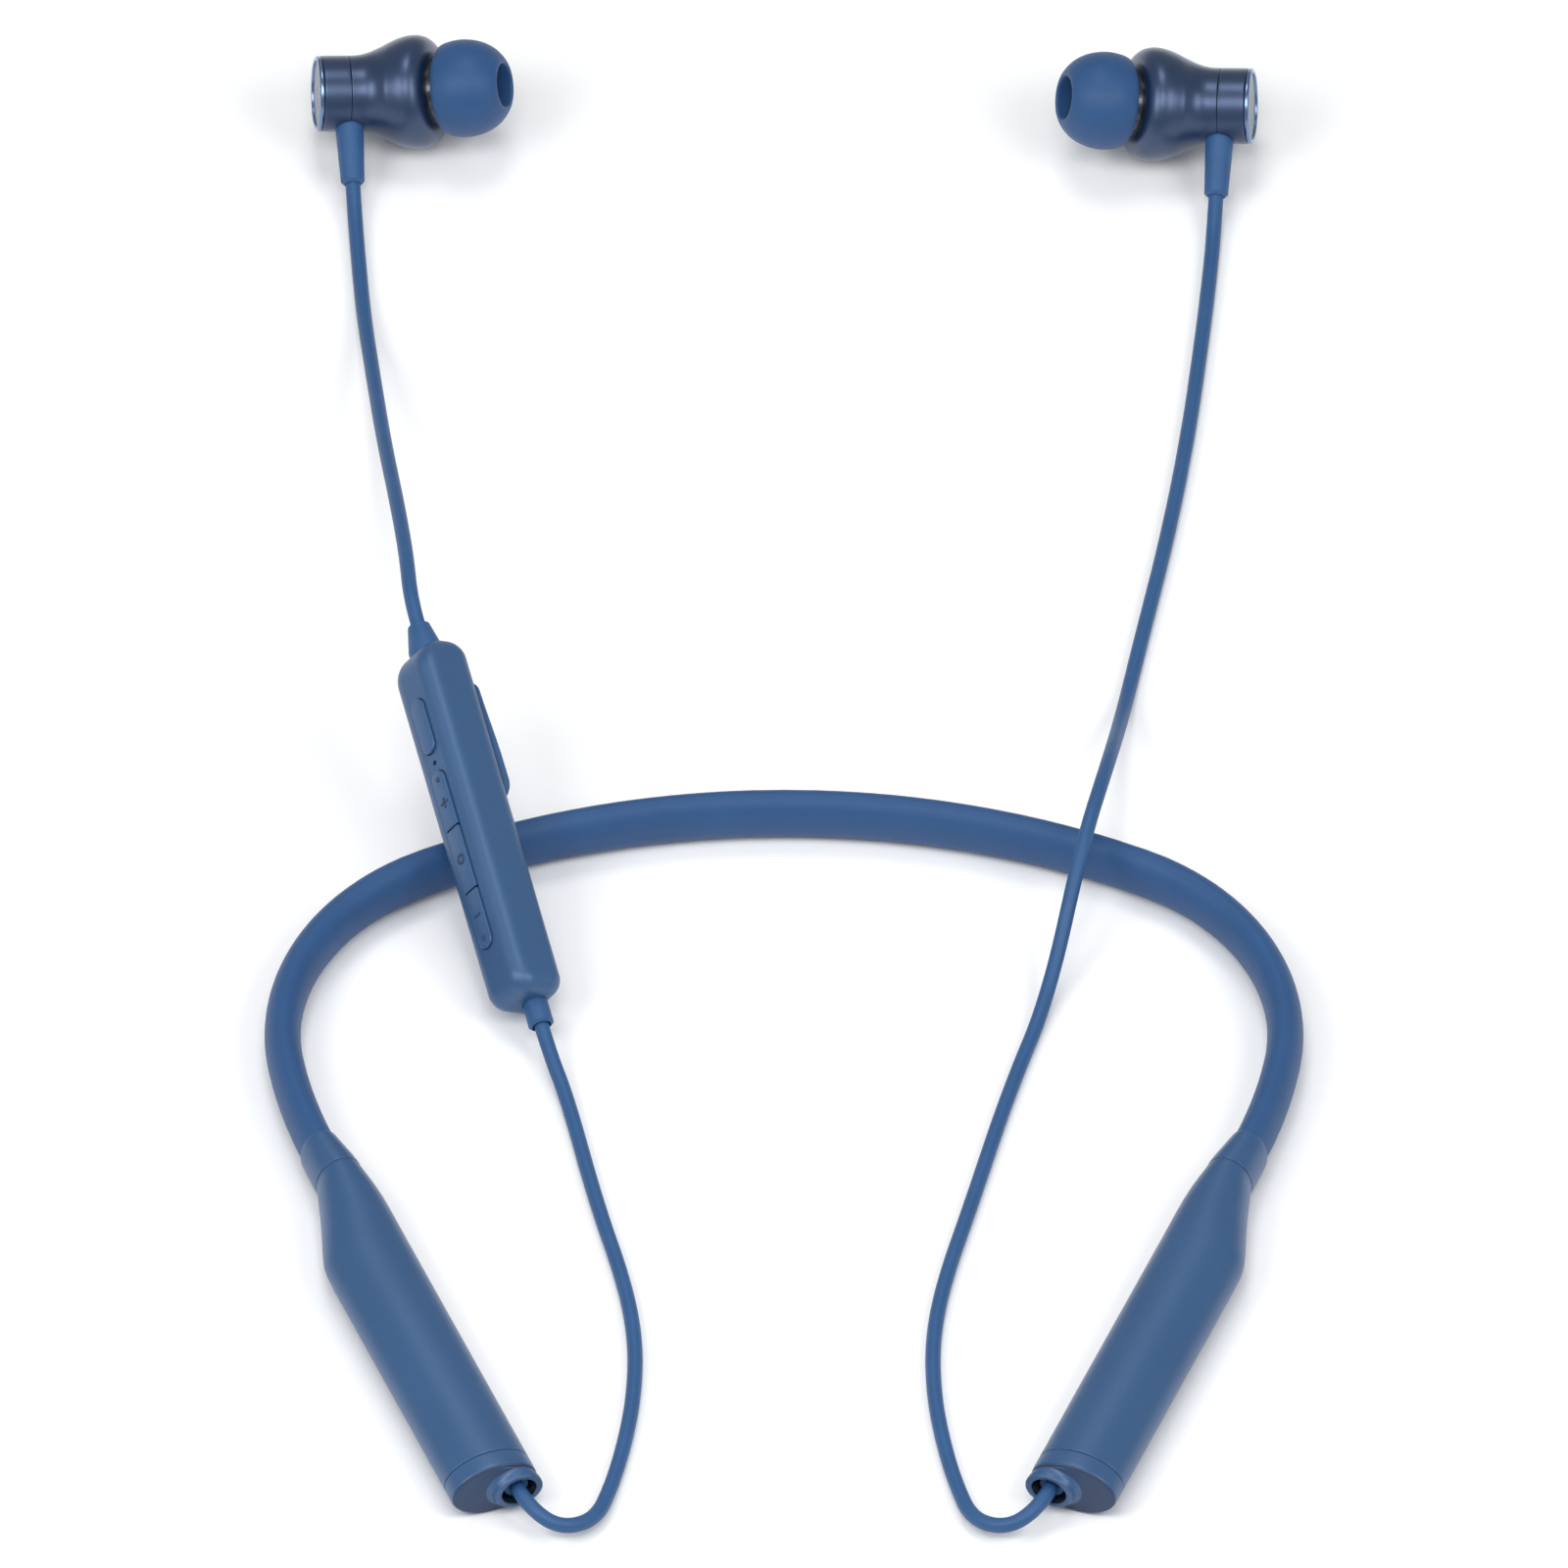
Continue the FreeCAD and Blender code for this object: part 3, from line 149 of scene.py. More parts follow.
# %% Soft finishes
band_silicone = grained("band_silicone", (0.018, 0.07, 0.19), 0.56, 0.12 * MM, 0.006 * MM,
                        Sheen_Weight=0.05, Sheen_Roughness=0.5, Specular_IOR_Level=0.35)
tip_silicone = grained("tip_silicone", (0.018, 0.07, 0.192), 0.5, 0.15 * MM, 0.004 * MM, drift=3 * MM,
                       Sheen_Weight=0.05, Subsurface_Weight=0.05, Subsurface_Scale=1.2 * MM,
                       Specular_IOR_Level=0.35)
cord_jacket = grained("cord_jacket", (0.022, 0.083, 0.212), 0.48, 0.15 * MM, 0.008 * MM, drift=4 * MM,
                      Specular_IOR_Level=0.4)
relief_rubber = grained("relief_rubber", (0.024, 0.086, 0.218), 0.5, 0.14 * MM, 0.008 * MM, drift=3 * MM,
                        Specular_IOR_Level=0.4)
flap_rubber = grained("flap_rubber", (0.03, 0.09, 0.212), 0.52, 0.14 * MM, 0.008 * MM, drift=3 * MM,
                      Specular_IOR_Level=0.4)
lead_rubber = grained("lead_rubber", (0.02, 0.02, 0.022), 0.55, 0.2 * MM, 0.01 * MM)
print("soft finishes:", band_silicone.name, tip_silicone.name, cord_jacket.name)

# %% [markdown]
# The pods and the key bar are moulded plastic under a satin lacquer with a very fine pearl in it. The
# lacquer is a thin coat over a rougher base, and the pearl is a small speckle in colour and roughness.

# %% Lacquered plastics
def lacquered(name, colour, roughness, coat):
    """Satin lacquer: the grained base, a fine pearl speckle and a soft clear coat."""
    material = grained(name, colour, roughness, 0.09 * MM, 0.004 * MM, drift=14 * MM, shift=0.04,
                       Coat_Weight=coat, Coat_Roughness=0.35, Metallic=0.12)
    nodes, links = material.node_tree.nodes, material.node_tree.links
    shader = nodes["Principled BSDF"]
    plain = shader.inputs["Base Color"].links[0].from_socket
    place = nodes.new("ShaderNodeTexCoord")
    pearl = nodes.new("ShaderNodeTexVoronoi")
    pearl.inputs["Scale"].default_value = 1 / (0.16 * MM)
    links.new(place.outputs["Object"], pearl.inputs["Vector"])
    mix = nodes.new("ShaderNodeMixRGB")
    mix.blend_type = "MULTIPLY"
    mix.inputs["Fac"].default_value = 1.0
    links.new(plain, mix.inputs["Color1"])
    links.new(spread(material, pearl.outputs["Distance"], 1.12, 0.94, 0.0, 0.6), mix.inputs["Color2"])
    links.new(mix.outputs["Color"], shader.inputs["Base Color"])
    return material


pod_shell = lacquered("pod_shell", (0.027, 0.084, 0.2), 0.4, 0.2)
# pod_end is the pod lacquer painted darker: painted shade for the cap's flat end, which faces away from the
# light.
pod_end = lacquered("pod_end", (0.012, 0.037, 0.098), 0.5, 0.1)
remote_shell = lacquered("remote_shell", (0.03, 0.09, 0.21), 0.44, 0.15)
key_plastic = lacquered("key_plastic", (0.032, 0.094, 0.218), 0.4, 0.2)
print("lacquers:", pod_shell.name, remote_shell.name)

# %% [markdown]
# The bud housings are turned aluminium, dyed dark navy. Anodising keeps the faint turning lines of the
# lathe, so their noise is squeezed along the bud's length, and a soft clear coat lies over the dye. The
# raised marks, the nozzles and the parts inside get their plain finishes here too.

# %% Metals and inner parts
bud_shell = grained("bud_shell", (0.014, 0.04, 0.11), 0.34, 0.06 * MM, 0.0012 * MM, drift=5 * MM, shift=0.08,
                    stretch=(3, 0.2, 0.2), Metallic=0.6, Coat_Weight=0.8, Coat_Roughness=0.36)
bud_plate = grained("bud_plate", (0.02, 0.045, 0.12), 0.3, 0.05 * MM, 0.001 * MM, drift=4 * MM,
                    Metallic=0.8, Coat_Weight=0.3)
rim_polish = grained("rim_polish", (0.16, 0.24, 0.42), 0.18, 0.05 * MM, 0.0008 * MM, drift=4 * MM,
                     Metallic=0.9, Coat_Weight=0.3)
mark_blue = grained("mark_blue", (0.013, 0.036, 0.1), 0.5, 0.1 * MM, 0.004 * MM)
nozzle_black = grained("nozzle_black", (0.012, 0.016, 0.028), 0.22, 0.2 * MM, 0.002 * MM, Coat_Weight=0.5)
steel = grained("steel", (0.55, 0.56, 0.58), 0.3, 0.05 * MM, 0.002 * MM, stretch=(1, 6, 1), Metallic=1.0)
circuit_board = grained("circuit_board", (0.02, 0.12, 0.06), 0.4, 0.3 * MM, 0.01 * MM, Coat_Weight=0.4)
cell_pouch = grained("cell_pouch", (0.6, 0.6, 0.58), 0.35, 0.8 * MM, 0.02 * MM, Metallic=0.9)
black_plastic = grained("black_plastic", (0.02, 0.02, 0.022), 0.5, 0.15 * MM, 0.01 * MM)
FINISHES = {
    "band_silicone": band_silicone, "tip_silicone": tip_silicone, "cord_jacket": cord_jacket,
    "relief_rubber": relief_rubber, "flap_rubber": flap_rubber, "lead_rubber": lead_rubber,
    "pod_shell": pod_shell, "pod_end": pod_end, "remote_shell": remote_shell, "key_plastic": key_plastic,
    "bud_shell": bud_shell, "bud_plate": bud_plate, "nozzle_black": nozzle_black, "steel": steel,
    "circuit_board": circuit_board, "cell_pouch": cell_pouch, "black_plastic": black_plastic,
}
print(len(FINISHES), "finishes")

# %% [markdown]
# The solids whose shape is already right stay as they are and only get their finish. Each one names its
# material slot in the record, so one loop dresses them all, inner parts included.

# %% Dress the solids of the frame
for part in frame["record"]["subparts"]:
    solid = cad[part["node"]]
    finish = FINISHES[part["material_slot"]]
    if not solid.material_slots:
        solid.data.materials.append(finish)
    for place in solid.material_slots:
        place.material = finish

# %% [markdown]
# A cord is a fixed length of something limp. Its line is one smooth NURBS curve with a few control points
# chosen one by one: straight out of its strain relief, down to the table, over the neckband in a low hump,
# and round into the foot of the pod. A round bevel on the curve gives the jacket its thickness.

# %% Lay the cords
CORD_THICKNESS = 2 * MM
RIGHT_UPPER_RUN = [
    (57.0, 98.8, 1.0), (55.8, 85.8, 1.0), (53.6, 65.8, 1.0), (50.7, 46.8, 1.0), (47.4, 29.3, 1.0),
    (44.6, 13.8, 1.0), (42.6, -6.2, 12.8), (39.1, -21.2, 12.8), (34.6, -38.2, 1.0), (29.4, -55.2, 1.0),
]
LEFT_UPPER_RUN = [
    (-56.9, 100.8, 1.0), (-56.1, 89.8, 1.2), (-54.7, 74.8, 4.6), (-53.0, 55.8, 10.6), (-51.0, 36.8, 17.4),
    (-49.7, 23.8, 20.9),
]
LOWER_RUN = [
    (24.4, -75.8, 1.0), (20.7, -90.2, 1.0), (19.2, -100.7, 1.0), (19.4, -110.7, 1.0), (20.6, -119.2, 1.0),
    (22.2, -126.6, 1.0), (24.3, -133.6, 1.7), (29.0, -136.3, 3.0), (33.1, -133.24, 4.1),
    (34.54, -129.72, 4.1),
]


def lay_cord(name, node, route, length):
    """A free cord along the route, in millimetres, which stands for that solid of the frame."""
    curve = bpy.data.curves.new(name, "CURVE")
    curve.dimensions = "3D"
    curve.bevel_depth = CORD_THICKNESS / 2
    curve.bevel_resolution = 5
    curve.use_fill_caps = True
    spline = curve.splines.new("NURBS")
    spline.points.add(len(route) - 1)
    for point, place in zip(spline.points, route):
        point.co = (*(value * MM for value in place), 1)
    spline.order_u = 3
    spline.use_endpoint_u = True
    spline.resolution_u = 12
    curve.materials.append(cord_jacket)
    cord = bpy.data.objects.new(name, curve)
    bpy.context.scene.collection.objects.link(cord)
    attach(cord, "neckband")
    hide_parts(node)
    print(f"{name}: {len(route)} points, {length} mm")


lay_cord("right_cord_jacket", "right_cord",
         [(57.8, 110.2, 3.2), (57.545, 106.422, 1.383)] + RIGHT_UPPER_RUN + LOWER_RUN, 267.7)
lay_cord("left_upper_cord_jacket", "left_upper_cord",
         [(-57.7, 112.6, 3.2), (-57.445, 108.822, 1.383)] + LEFT_UPPER_RUN
         + [(-49.066, 14.627, 21.876), (-48.004, 10.721, 20.753)], 105.8)
lay_cord("left_lower_cord_jacket", "left_lower_cord",
         [(-31.956, -45.088, 4.112), (-30.592, -50.109, 2.668), (-28.2, -57.0, 1.0)]
         + [(-x, y, z) for x, y, z in LOWER_RUN], 104.7)

# %% [markdown]
# Most of the moulded pieces are skins drawn through ovals: the pods widen, shift and narrow along one
# line, and the buds bend on theirs. A ring of vertices is placed for every oval and neighbouring rings are
# bridged, which keeps even quads for the smoothing. Spinning an outline would only give round pieces, and
# cutting boxes would leave hard corners to repair.

# %% Helpers for skins drawn through rings
RING_POINTS = 48


def set_axes(origin, z_way, x_way):
    """A matrix whose Z runs along z_way and whose X is as near x_way as it can be, in millimetres."""
    z_dir = Vector(z_way).normalized()
    y_dir = z_dir.cross(Vector(x_way)).normalized()
    turn = Matrix((y_dir.cross(z_dir), y_dir, z_dir)).transposed()
    return Matrix.Translation(Vector(origin)) @ turn.to_4x4()


def add_ring(shape, z, x, width, height, tilt=0.0, pivot=0.0):
    """An oval ring at height z, shifted by x, and turned by tilt degrees about the point at height pivot."""
    verts = bmesh.ops.create_circle(shape, segments=RING_POINTS, radius=0.5)["verts"]
    bmesh.ops.scale(shape, vec=(width, height, 1), verts=verts)
    bmesh.ops.translate(shape, vec=(x, 0, z), verts=verts)
    turn = Matrix.Rotation(math.radians(tilt), 3, "Y")
    bmesh.ops.rotate(shape, cent=(0, 0, pivot), matrix=turn, verts=verts)
    return list({edge for vert in verts for edge in vert.link_edges})


def skin(rings):
    """A bmesh skin through the rings, open at both ends."""
    shape = bmesh.new()
    loops = [add_ring(shape, **ring) for ring in rings]
    for first, second in zip(loops, loops[1:]):
        bmesh.ops.bridge_loops(shape, edges=first + second)
    return shape


def make_piece(name, shape, place, finish, body, stands_for=(), levels=2):
    """Places the shape, in millimetres, in the row frame, smooths it and lets it ride on its body."""
    bmesh.ops.transform(shape, matrix=Matrix.Scale(MM, 4) @ place, verts=shape.verts)
    bmesh.ops.remove_doubles(shape, verts=shape.verts, dist=1e-7)
    bmesh.ops.recalc_face_normals(shape, faces=shape.faces)
    mesh = bpy.data.meshes.new(name)
    for face in shape.faces:
        face.smooth = True
    shape.to_mesh(mesh)
    shape.free()
    piece = bpy.data.objects.new(name, mesh)
    bpy.context.scene.collection.objects.link(piece)
    mesh.materials.append(finish)
    if levels:
        smoothing = piece.modifiers.new("smoothing", "SUBSURF")
        smoothing.levels = levels
        smoothing.render_levels = levels
    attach(piece, body)
    if stands_for:
        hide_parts(*stands_for)
    print(f"{name}: {len(mesh.polygons)} faces before smoothing")
    return piece


print("skin helpers ready")

# %% [markdown]
# A pod is three mouldings in a row: a collar that grips the silicone, a barrel that holds the cell, and an
# end cap whose inner half runs on into a boss with the cord's hole. They meet in fine seams. Each end has
# a ring a little smaller than the one behind it, so that two neighbours leave a small groove between them.

# %% Rings of a pod
POD_WIDE, POD_HIGH, POD_LONG = 11.9, 8.2, 56.4
SEAM_SHIFT, SEAM_WIDE = -1.925, 6.55
SEAM_ROUND, SEAM_GAP = 0.1, 0.03
BOSS_SHIFT = -2.7


def oval(z, x, width, height, less=0.0):
    """The values of one ring, made smaller all round by less."""
    return {"z": z, "x": x, "width": width - 2 * less, "height": height - 2 * less}


def seam_end(z, inward, x, width, height):
    """Rings of a piece's end at a seam: its face, a small rounding and the full section behind it."""
    steps = ((SEAM_GAP, 0.9), (SEAM_GAP, SEAM_ROUND), (SEAM_GAP + 0.4 * SEAM_ROUND, 0.35 * SEAM_ROUND),
             (0.05 + SEAM_ROUND, 0.0), (0.45, 0.0))
    return [oval(z + inward * step, x, width, height, less) for step, less in steps]


def flare(z, outer, inner=POD_WIDE / 2):
    """A barrel ring that reaches outer on the outside of the curve and inner on the inside."""
    return oval(z, (outer - inner) / 2, outer + inner, POD_HIGH)


def collar_rings():
    mouth = [oval(-5.9, -1.5, 5.45, 8.0, 0.34), oval(-5.9, -1.5, 5.45, 8.0, 0.12),
             oval(-5.82, -1.5, 5.45, 8.0, 0.02), oval(-5.5, -1.5, 5.55, 8.05), oval(-3.6, -1.66, 5.95, 8.14),
             oval(-1.6, -1.85, 6.45, POD_HIGH)]
    return mouth + seam_end(0, -1, SEAM_SHIFT, SEAM_WIDE, POD_HIGH)[::-1]


def barrel_rings():
    flares = [flare(2.2, 1.95, 5.5), flare(5.2, 2.8, 5.88), flare(8.6, 3.98), flare(12.0, 5.2),
              flare(13.9, 5.78), flare(15.4, 5.93)]
    straight = [flare(z, POD_WIDE / 2) for z in (18.0, 30.0, 44.0, 54.0)]
    return (seam_end(0, 1, SEAM_SHIFT, SEAM_WIDE, POD_HIGH) + flares + straight
            + seam_end(POD_LONG, -1, 0, POD_WIDE, POD_HIGH)[::-1])


def cap_rings():
    side_wall = [oval(POD_LONG + 2.2, 0, POD_WIDE, POD_HIGH),
                 oval(POD_LONG + 2.62, 0, POD_WIDE, POD_HIGH, 0.04),
                 oval(POD_LONG + 2.86, 0, POD_WIDE, POD_HIGH, 0.26),
                 oval(POD_LONG + 2.9, -0.1, POD_WIDE, POD_HIGH, 0.6)]
    boss = [oval(POD_LONG + 2.95, -1.5, 8.5, 6.9), oval(POD_LONG + 3.15, -2.3, 7.15, 6.1),
            oval(POD_LONG + 3.7, -2.65, 6.75, 5.6), oval(POD_LONG + 4.3, BOSS_SHIFT, 6.7, 5.4),
            oval(POD_LONG + 4.47, BOSS_SHIFT, 6.45, 5.15), oval(POD_LONG + 4.5, BOSS_SHIFT, 5.9, 4.75)]
    hole = [oval(POD_LONG + 4.5, BOSS_SHIFT, 5.1, 4.3), oval(POD_LONG + 4.42, BOSS_SHIFT, 4.8, 4.05),
            oval(POD_LONG + 4.1, BOSS_SHIFT, 4.6, 3.95), oval(POD_LONG + 2.7, BOSS_SHIFT, 4.0, 3.9)]
    return seam_end(POD_LONG, 1, 0, POD_WIDE, POD_HIGH) + side_wall + boss + hole


POD_PARTS = {"collar": collar_rings(), "barrel": barrel_rings(), "cap": cap_rings()}
print({part: len(rings) for part, rings in POD_PARTS.items()})

# %% [markdown]
# The pods mirror each other, with X outwards and Z towards the foot. On the cap two groups of faces get
# painted shade, picked by where they lie: the flat end, which faces away from the light, is painted darker,
# and the wall of the cord's hole is painted black as shade inside the hole.

# %% Build the pods
POD_HEADING = math.radians(112.2)
POD_ORIGIN = (59.593, -75.470, 4.1)
FLAT_END_BELOW = POD_LONG + 3.3
HOLE_WALL_BELOW = POD_LONG + 4.43
HOLE_HALF_WIDE, HOLE_HALF_HIGH = 2.5, 2.2


def pod_place(side):
    along = (side * math.cos(POD_HEADING), -math.sin(POD_HEADING), 0)
    outward = (side * math.sin(POD_HEADING), math.cos(POD_HEADING), 0)
    return set_axes((side * POD_ORIGIN[0], POD_ORIGIN[1], POD_ORIGIN[2]), along, outward)


def paint_cap_shade(piece, place):
    """Painted shade on a cap that stands at place: the flat end darker and the wall of the hole black."""
    piece.data.materials.append(pod_end)
    piece.data.materials.append(nozzle_black)
    along = place.to_3x3().col[2]
    for face in piece.data.polygons:
        spot = place.inverted() @ (face.center / MM)
        from_boss = math.hypot((spot.x - BOSS_SHIFT) / HOLE_HALF_WIDE, spot.y / HOLE_HALF_HIGH)
        # painted shade: the blue wall of the cord's hole is painted black, as shade inside the hole
        if from_boss < 1 and spot.z < HOLE_WALL_BELOW:
            face.material_index = 2
        # painted shade: the flat end, facing away from the light, is painted darker
        elif face.normal.dot(along) > 0.6 and spot.z < FLAT_END_BELOW:
            face.material_index = 1


for side_name, side in (("left", -1), ("right", 1)):
    place = pod_place(side)
    for part, rings in POD_PARTS.items():
        piece = make_piece(f"{side_name}_{part}_skin", skin(rings), place, pod_shell, "neckband",
                           [f"{side_name}_pod_{part}"])
        if part == "cap":
            paint_cap_shade(piece, place)

# %% [markdown]
# A bud is a short aluminium cylinder that flares into a round bulb, and the bulb is turned towards the ear
# canal. Two separate turned shapes would meet in a crease, so one row of rings bends from the first axis
# to the second while it widens. The rear housing, the polished rim and the sunk plate are spun outlines.

# %% Rings and outlines of a bud
BULB_CENTRE, NOZZLE_TILT = 12.3, 28.3
FRONT_REACH = 4.4
REAR_RADIUS = 5.1


def spun(outline, steps=64):
    """A full turn about Z of an outline of (radius, height) points."""
    shape = bmesh.new()
    verts = [shape.verts.new((radius, 0, height)) for radius, height in outline]
    edges = [shape.edges.new(pair) for pair in zip(verts, verts[1:])]
    bmesh.ops.spin(shape, geom=verts + edges, cent=(0, 0, 0), axis=(0, 0, 1), angle=math.tau, steps=steps,
                   use_merge=True)
    bmesh.ops.remove_doubles(shape, verts=shape.verts, dist=1e-5)
    return shape


def bent(z, radius, tilt):
    """A round ring of a bud, turned by tilt degrees about its own middle."""
    return {"z": z, "x": 0, "width": 2 * radius, "height": 2 * radius, "tilt": tilt, "pivot": z}


def on_nozzle(reach, radius):
    """A round ring on the nozzle's axis, that far in front of the bulb's centre."""
    return {"z": BULB_CENTRE + reach, "x": 0, "width": 2 * radius, "height": 2 * radius, "tilt": NOZZLE_TILT,
            "pivot": BULB_CENTRE}


front_rings = [
    bent(4.31, 4.3, 0), bent(4.31, 5.0, 0), bent(4.35, 5.08, 0), bent(4.45, REAR_RADIUS, 0),
    bent(5.2, REAR_RADIUS, 0), bent(6.3, 5.2, 1), bent(7.6, 5.58, 5), bent(9.0, 6.2, 11), bent(10.5, 6.9, 18),
    bent(11.7, 7.36, 24), on_nozzle(0.7, 7.68), on_nozzle(1.8, 7.72), on_nozzle(2.8, 7.5),
    on_nozzle(3.6, 6.95), on_nozzle(4.15, 6.15), on_nozzle(4.36, 5.3), on_nozzle(FRONT_REACH, 4.7),
    on_nozzle(FRONT_REACH, 3.9),
]
rear_outline = [(4.3, 0.64), (4.95, 0.64), (5.06, 0.7), (REAR_RADIUS, 0.82), (REAR_RADIUS, 1.2),
                (REAR_RADIUS, 3.6), (REAR_RADIUS, 4.15), (5.08, 4.25), (5.0, 4.29), (4.3, 4.29)]
rim_outline = [(4.2, 0.62), (4.94, 0.62), (5.06, 0.56), (REAR_RADIUS, 0.45), (REAR_RADIUS, 0.3), (5.02, 0.1),
               (4.86, 0.0), (4.66, 0.0), (4.52, 0.06), (4.46, 0.2), (4.46, 0.32)]
plate_outline = [(4.46, 0.3), (4.4, 0.26), (4.2, 0.24), (3.9, 0.24), (2.0, 0.24), (0, 0.24)]
tip_outline = [
    (3.03, 5.47), (3.2, 5.45), (3.7, 5.45), (3.8, 5.6), (3.8, 8.6), (4.1, 9.6), (4.9, 10.0), (5.5, 9.4),
    (5.86, 8.4), (5.7, 7.0), (5.2, 5.9), (4.8, 5.54), (4.95, 5.46), (5.4, 5.45), (5.85, 5.52), (6.14, 5.78),
    (6.38, 6.5), (6.58, 7.7), (6.6, 8.7), (6.42, 10.1), (5.92, 11.6), (5.05, 12.9), (4.05, 13.75),
    (3.5, 14.06), (3.12, 14.12), (2.92, 14.0), (2.88, 13.7), (2.95, 12.6), (3.03, 11.1), (3.03, 9.0),
    (3.03, 5.47),
]
print(len(front_rings), "rings in a bud's front")

# %% [markdown]
# Each bud stands on the middle of its back, which the frame gives as a mount, with Z along its axis and X
# towards the side that the nozzle leans to. The tip has its own axis, the nozzle's, through the bulb's
# centre, and rides on its own body because it can be pulled off.

# %% Build the earbuds
BUD_AXIS = Vector((0.988, 0.11, -0.09))
NOZZLE_AXIS = Vector((0.947, -0.178, 0.269))
BUD_BACKS = {mount["name"]: Vector(mount["pos_m"]) / MM for mount in frame["record"]["mounts"]
             if mount["name"].endswith("bud_back")}
TIP_STEPS = 48

for side_name, side in (("left", -1), ("right", 1)):
    axis = Vector((-side * BUD_AXIS.x, BUD_AXIS.y, BUD_AXIS.z)).normalized()
    nozzle = Vector((-side * NOZZLE_AXIS.x, NOZZLE_AXIS.y, NOZZLE_AXIS.z))
    place = set_axes(BUD_BACKS[f"{side_name}_bud_back"], axis, nozzle - axis * nozzle.dot(axis))
    make_piece(f"{side_name}_bud_front", skin(front_rings), place, bud_shell, "neckband",
               [f"{side_name}_front_housing"])
    make_piece(f"{side_name}_bud_rear", spun(rear_outline), place, bud_shell, "neckband",
               [f"{side_name}_rear_housing"], levels=1)
    make_piece(f"{side_name}_bud_rim", spun(rim_outline), place, rim_polish, "neckband",
               [f"{side_name}_back_cap"], levels=1)
    make_piece(f"{side_name}_bud_plate", spun(plate_outline), place, bud_plate, "neckband",
               levels=1)
    tilt = Matrix.Translation((0, 0, BULB_CENTRE)) @ Matrix.Rotation(math.radians(NOZZLE_TILT), 4, "Y")
    make_piece(f"{side_name}_tip_dome", spun(tip_outline, TIP_STEPS), place @ tilt, tip_silicone,
               f"{side_name}_tip_body", [f"{side_name}_ear_tip"])

# %% [markdown]
# The key bar hangs in the left cord and leans on the neckband, so its place is three turns away from the
# table. Its two covers keep the frame's shape. Keys, flap and the bars of the marks are blocks; the keys and
# the flap are bevelled twice: first the corners of the outline and then the rim, as a mould is cut.

# %% Place the key bar
REMOTE_FOOT = Vector((-33.3, -43.4, 5.2))
REMOTE_LONG = 54.6
yaw, pitch, roll = math.radians(15.2), math.radians(15.5), math.radians(58.7)
upward = Vector((-math.sin(yaw) * math.cos(pitch), math.cos(yaw) * math.cos(pitch), math.sin(pitch)))
over = (Vector((0, 0, 1)) - upward * upward.z).normalized()
keys_out = over * math.cos(roll) + over.cross(upward) * math.sin(roll)
remote_place = set_axes(REMOTE_FOOT + upward * REMOTE_LONG, -upward, keys_out.cross(-upward))


def add_block(shape, size, middle):
    """Adds a box of that size round the middle."""
    verts = bmesh.ops.create_cube(shape, size=1.0)["verts"]
    bmesh.ops.scale(shape, vec=size, verts=verts)
    bmesh.ops.translate(shape, vec=middle, verts=verts)


def bevel_edges(shape, edges, radius, segments):
    bmesh.ops.bevel(shape, geom=edges, offset=radius, segments=segments, profile=0.5, affect="EDGES",
                    material=-1)


def round_block(shape, keep, radius, segments=5):
    """Bevels the edges whose two ends both pass keep."""
    edges = [edge for edge in shape.edges if all(keep(vert.co) for vert in edge.verts)
             and edge.calc_length() > 1e-4]
    bevel_edges(shape, edges, radius, segments)


def stands_up(edge):
    """Whether the edge runs through the thickness of its block."""
    return abs(edge.verts[0].co.y - edge.verts[1].co.y) > 0.5


print("keys face", [round(value, 2) for value in keys_out])

# %% [markdown]
# The keys get rounded edges here, because their rims catch the light. The two ends of the row of three are
# round and the ends between neighbours are nearly square. A flange below each key keeps it in the cover.

# %% Build the keys
KEY_FACE, KEY_WIDE = 4.1, 2.6
KEY_TOP = KEY_FACE + 0.35
KEY_DEEP = 1.25
ROUND_END, SQUARE_END = 1.28, 0.2
KEYS = {"mode_key": (8.3, 16.5, ROUND_END, ROUND_END), "plus_key": (19.4, 28.0, ROUND_END, SQUARE_END),
        "centre_key": (28.25, 37.65, SQUARE_END, SQUARE_END),
        "minus_key": (37.9, 46.5, SQUARE_END, ROUND_END)}


def key_block(start, end, start_radius, end_radius):
    """A key cap with its corners and its rim rounded, and the flange below it."""
    shape = bmesh.new()
    middle = (start + end) / 2
    add_block(shape, (KEY_WIDE, KEY_DEEP, end - start), (0, KEY_TOP - KEY_DEEP / 2, middle))
    for place, radius in ((start, start_radius), (end, end_radius)):
        corners = [edge for edge in shape.edges if stands_up(edge)
                   and all(abs(vert.co.z - place) < 1e-4 for vert in edge.verts)]
        bevel_edges(shape, corners, radius, 8)
    round_block(shape, lambda spot: spot.y > KEY_TOP - 1e-4, 0.13, 3)
    add_block(shape, (KEY_WIDE + 1, 0.5, end - start - 0.8), (0, KEY_FACE - 1.1, middle))
    return shape


for key_name, key_size in KEYS.items():
    make_piece(f"{key_name}_cap", key_block(*key_size), remote_place, key_plastic, f"{key_name}_body",
               [key_name], levels=0)

# %% [markdown]
# Every key of the row has its raised mark: a plus, a ring and a minus, and a dot at each end of the row.
# The round ones are spun outlines tipped over to stand on the key. Each mark rides on its key.

# %% Build the marks
def on_key(shape, height_on_key):
    """Tips a spun shape over and stands it on the key's face."""
    tip_over = Matrix.Rotation(math.radians(-90), 3, "X")
    bmesh.ops.rotate(shape, cent=(0, 0, 0), matrix=tip_over, verts=shape.verts)
    bmesh.ops.translate(shape, vec=(0, KEY_TOP, height_on_key), verts=shape.verts)
    return shape


def dome(height_on_key):
    outline = [(0.36, -0.05), (0.36, 0.04), (0.31, 0.13), (0.2, 0.19), (0, 0.21)]
    return on_key(spun(outline, 20), height_on_key)


def small_ring(height_on_key):
    outline = [(0.42, -0.05), (0.42, 0.06), (0.5, 0.11), (0.68, 0.11), (0.76, 0.06), (0.76, -0.05)]
    return on_key(spun(outline, 32), height_on_key)


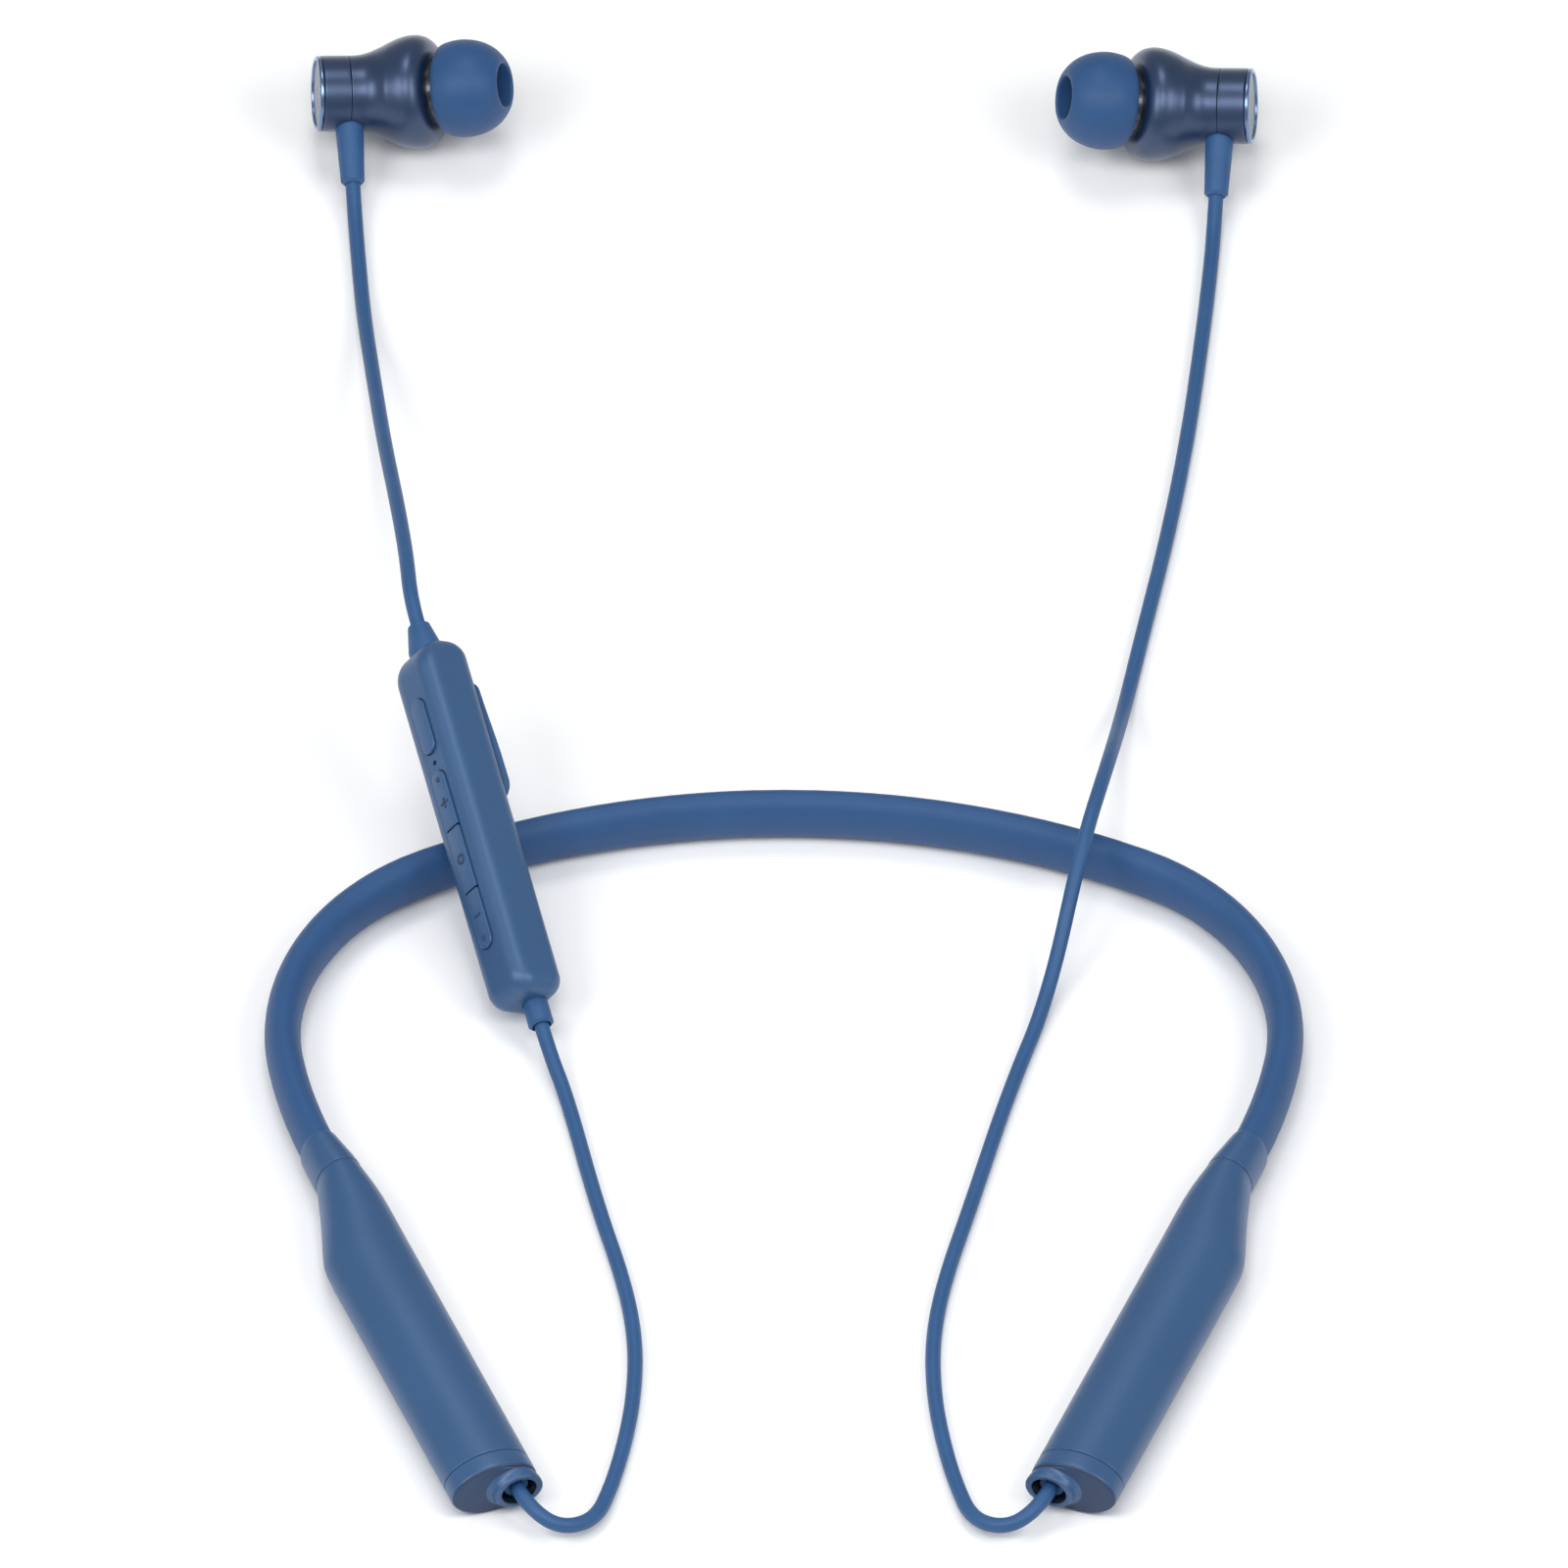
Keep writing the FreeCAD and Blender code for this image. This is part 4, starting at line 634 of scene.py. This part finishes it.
def bars(height_on_key, *sizes):
    shape = bmesh.new()
    for across, along in sizes:
        add_block(shape, (across, 0.16, along), (0, KEY_TOP + 0.02, height_on_key))
    round_block(shape, lambda spot: spot.y > KEY_TOP + 0.05, 0.05, 2)
    return shape


MARKS = {"row_start_dot": (dome(20.7), "plus_key"),
         "plus_mark": (bars(24.2, (1.5, 0.3), (0.3, 1.5)), "plus_key"),
         "ring_mark": (small_ring(32.9), "centre_key"),
         "minus_mark": (bars(41.6, (1.3, 0.32)), "minus_key"),
         "row_end_dot": (dome(45.1), "minus_key")}
for mark_name, (shape, key_name) in MARKS.items():
    make_piece(mark_name, shape, remote_place, mark_blue, f"{key_name}_body", levels=0)

# %% [markdown]
# The charging port hides under a soft flap on the back of the bar. It swells slowly from its hinge to a
# blunt end that a fingernail lifts, so the block is rounded first, cut across for the bend, and then its
# thickness is drawn down towards the hinge.

# %% Build the port flap
FLAP_START, FLAP_END, FLAP_WIDE, FLAP_PROUD = 5.6, 23.4, 6.4, 1.2
FLAP_SEAT = -KEY_FACE - 0.05
SWELL_LONG, HINGE_SHARE = 13.0, 0.3
flap_shape = bmesh.new()
add_block(flap_shape, (FLAP_WIDE, FLAP_PROUD, FLAP_END - FLAP_START),
          (0, FLAP_SEAT - FLAP_PROUD / 2, (FLAP_START + FLAP_END) / 2))
bevel_edges(flap_shape, [edge for edge in flap_shape.edges if stands_up(edge)], 2.2, 8)
round_block(flap_shape, lambda spot: spot.y < -KEY_FACE - FLAP_PROUD, 0.85, 5)
for cut in (9.0, 11.0, 13.0, 15.0, 17.0, 19.0):
    bmesh.ops.bisect_plane(flap_shape, geom=flap_shape.verts[:] + flap_shape.edges[:] + flap_shape.faces[:],
                           plane_co=(0, 0, cut), plane_no=(0, 0, 1))
for vert in flap_shape.verts:
    rise = min(max((vert.co.z - FLAP_START) / SWELL_LONG, 0), 1)
    swell = HINGE_SHARE + (1 - HINGE_SHARE) * rise * rise * (3 - 2 * rise)
    vert.co.y = FLAP_SEAT + (vert.co.y - FLAP_SEAT) * swell
make_piece("port_flap_cover", flap_shape, remote_place, flap_rubber, "port_flap_body",
           ["port_flap"], levels=0)

# %% [markdown]
# The set is a plain white table top under soft light: three panels in an arc above the camera that run
# together into the soft spot on each bud, a weak one at the back for the crests, and a pale sky.

# %% Table and light
table_mesh = bpy.data.meshes.new("table_top")
table_shape = bmesh.new()
bmesh.ops.create_grid(table_shape, x_segments=1, y_segments=1, size=2.5)
table_shape.to_mesh(table_mesh)
table_shape.free()
table = bpy.data.objects.new("table_top", table_mesh)
bpy.context.scene.collection.objects.link(table)
table_white = grained("table_white", (0.92, 0.92, 0.925), 0.7, 2 * MM, 0.01 * MM, drift=400 * MM, shift=0.01)
table_mesh.materials.append(table_white)


def hang_panel(name, place, size, power):
    """A square area light at place, turned towards the middle of the table."""
    lamp = bpy.data.lights.new(name, "AREA")
    lamp.shape = "SQUARE"
    lamp.size = size
    lamp.energy = power
    panel = bpy.data.objects.new(name, lamp)
    panel.location = place
    panel.rotation_euler = (-Vector(place)).to_track_quat("-Z", "Y").to_euler()
    bpy.context.scene.collection.objects.link(panel)


hang_panel("back_panel", (-0.05, 0.35, 1.0), 0.35, 2)
hang_panel("front_panel", (-0.05, -0.6, 1.05), 0.5, 4.5)
hang_panel("left_panel", (-0.62, -0.4, 0.74), 0.5, 4)
hang_panel("right_panel", (0.62, -0.4, 0.74), 0.5, 3.6)
sky = bpy.data.worlds.new("studio_sky")
sky.use_nodes = True
sky.node_tree.nodes["Background"].inputs["Color"].default_value = (0.95, 0.98, 1.0, 1)
sky.node_tree.nodes["Background"].inputs["Strength"].default_value = 0.4
bpy.context.scene.world = sky
bpy.context.scene.view_settings.view_transform = "Standard"
print("table and four panels")

# %% Finish
print("scene ready")
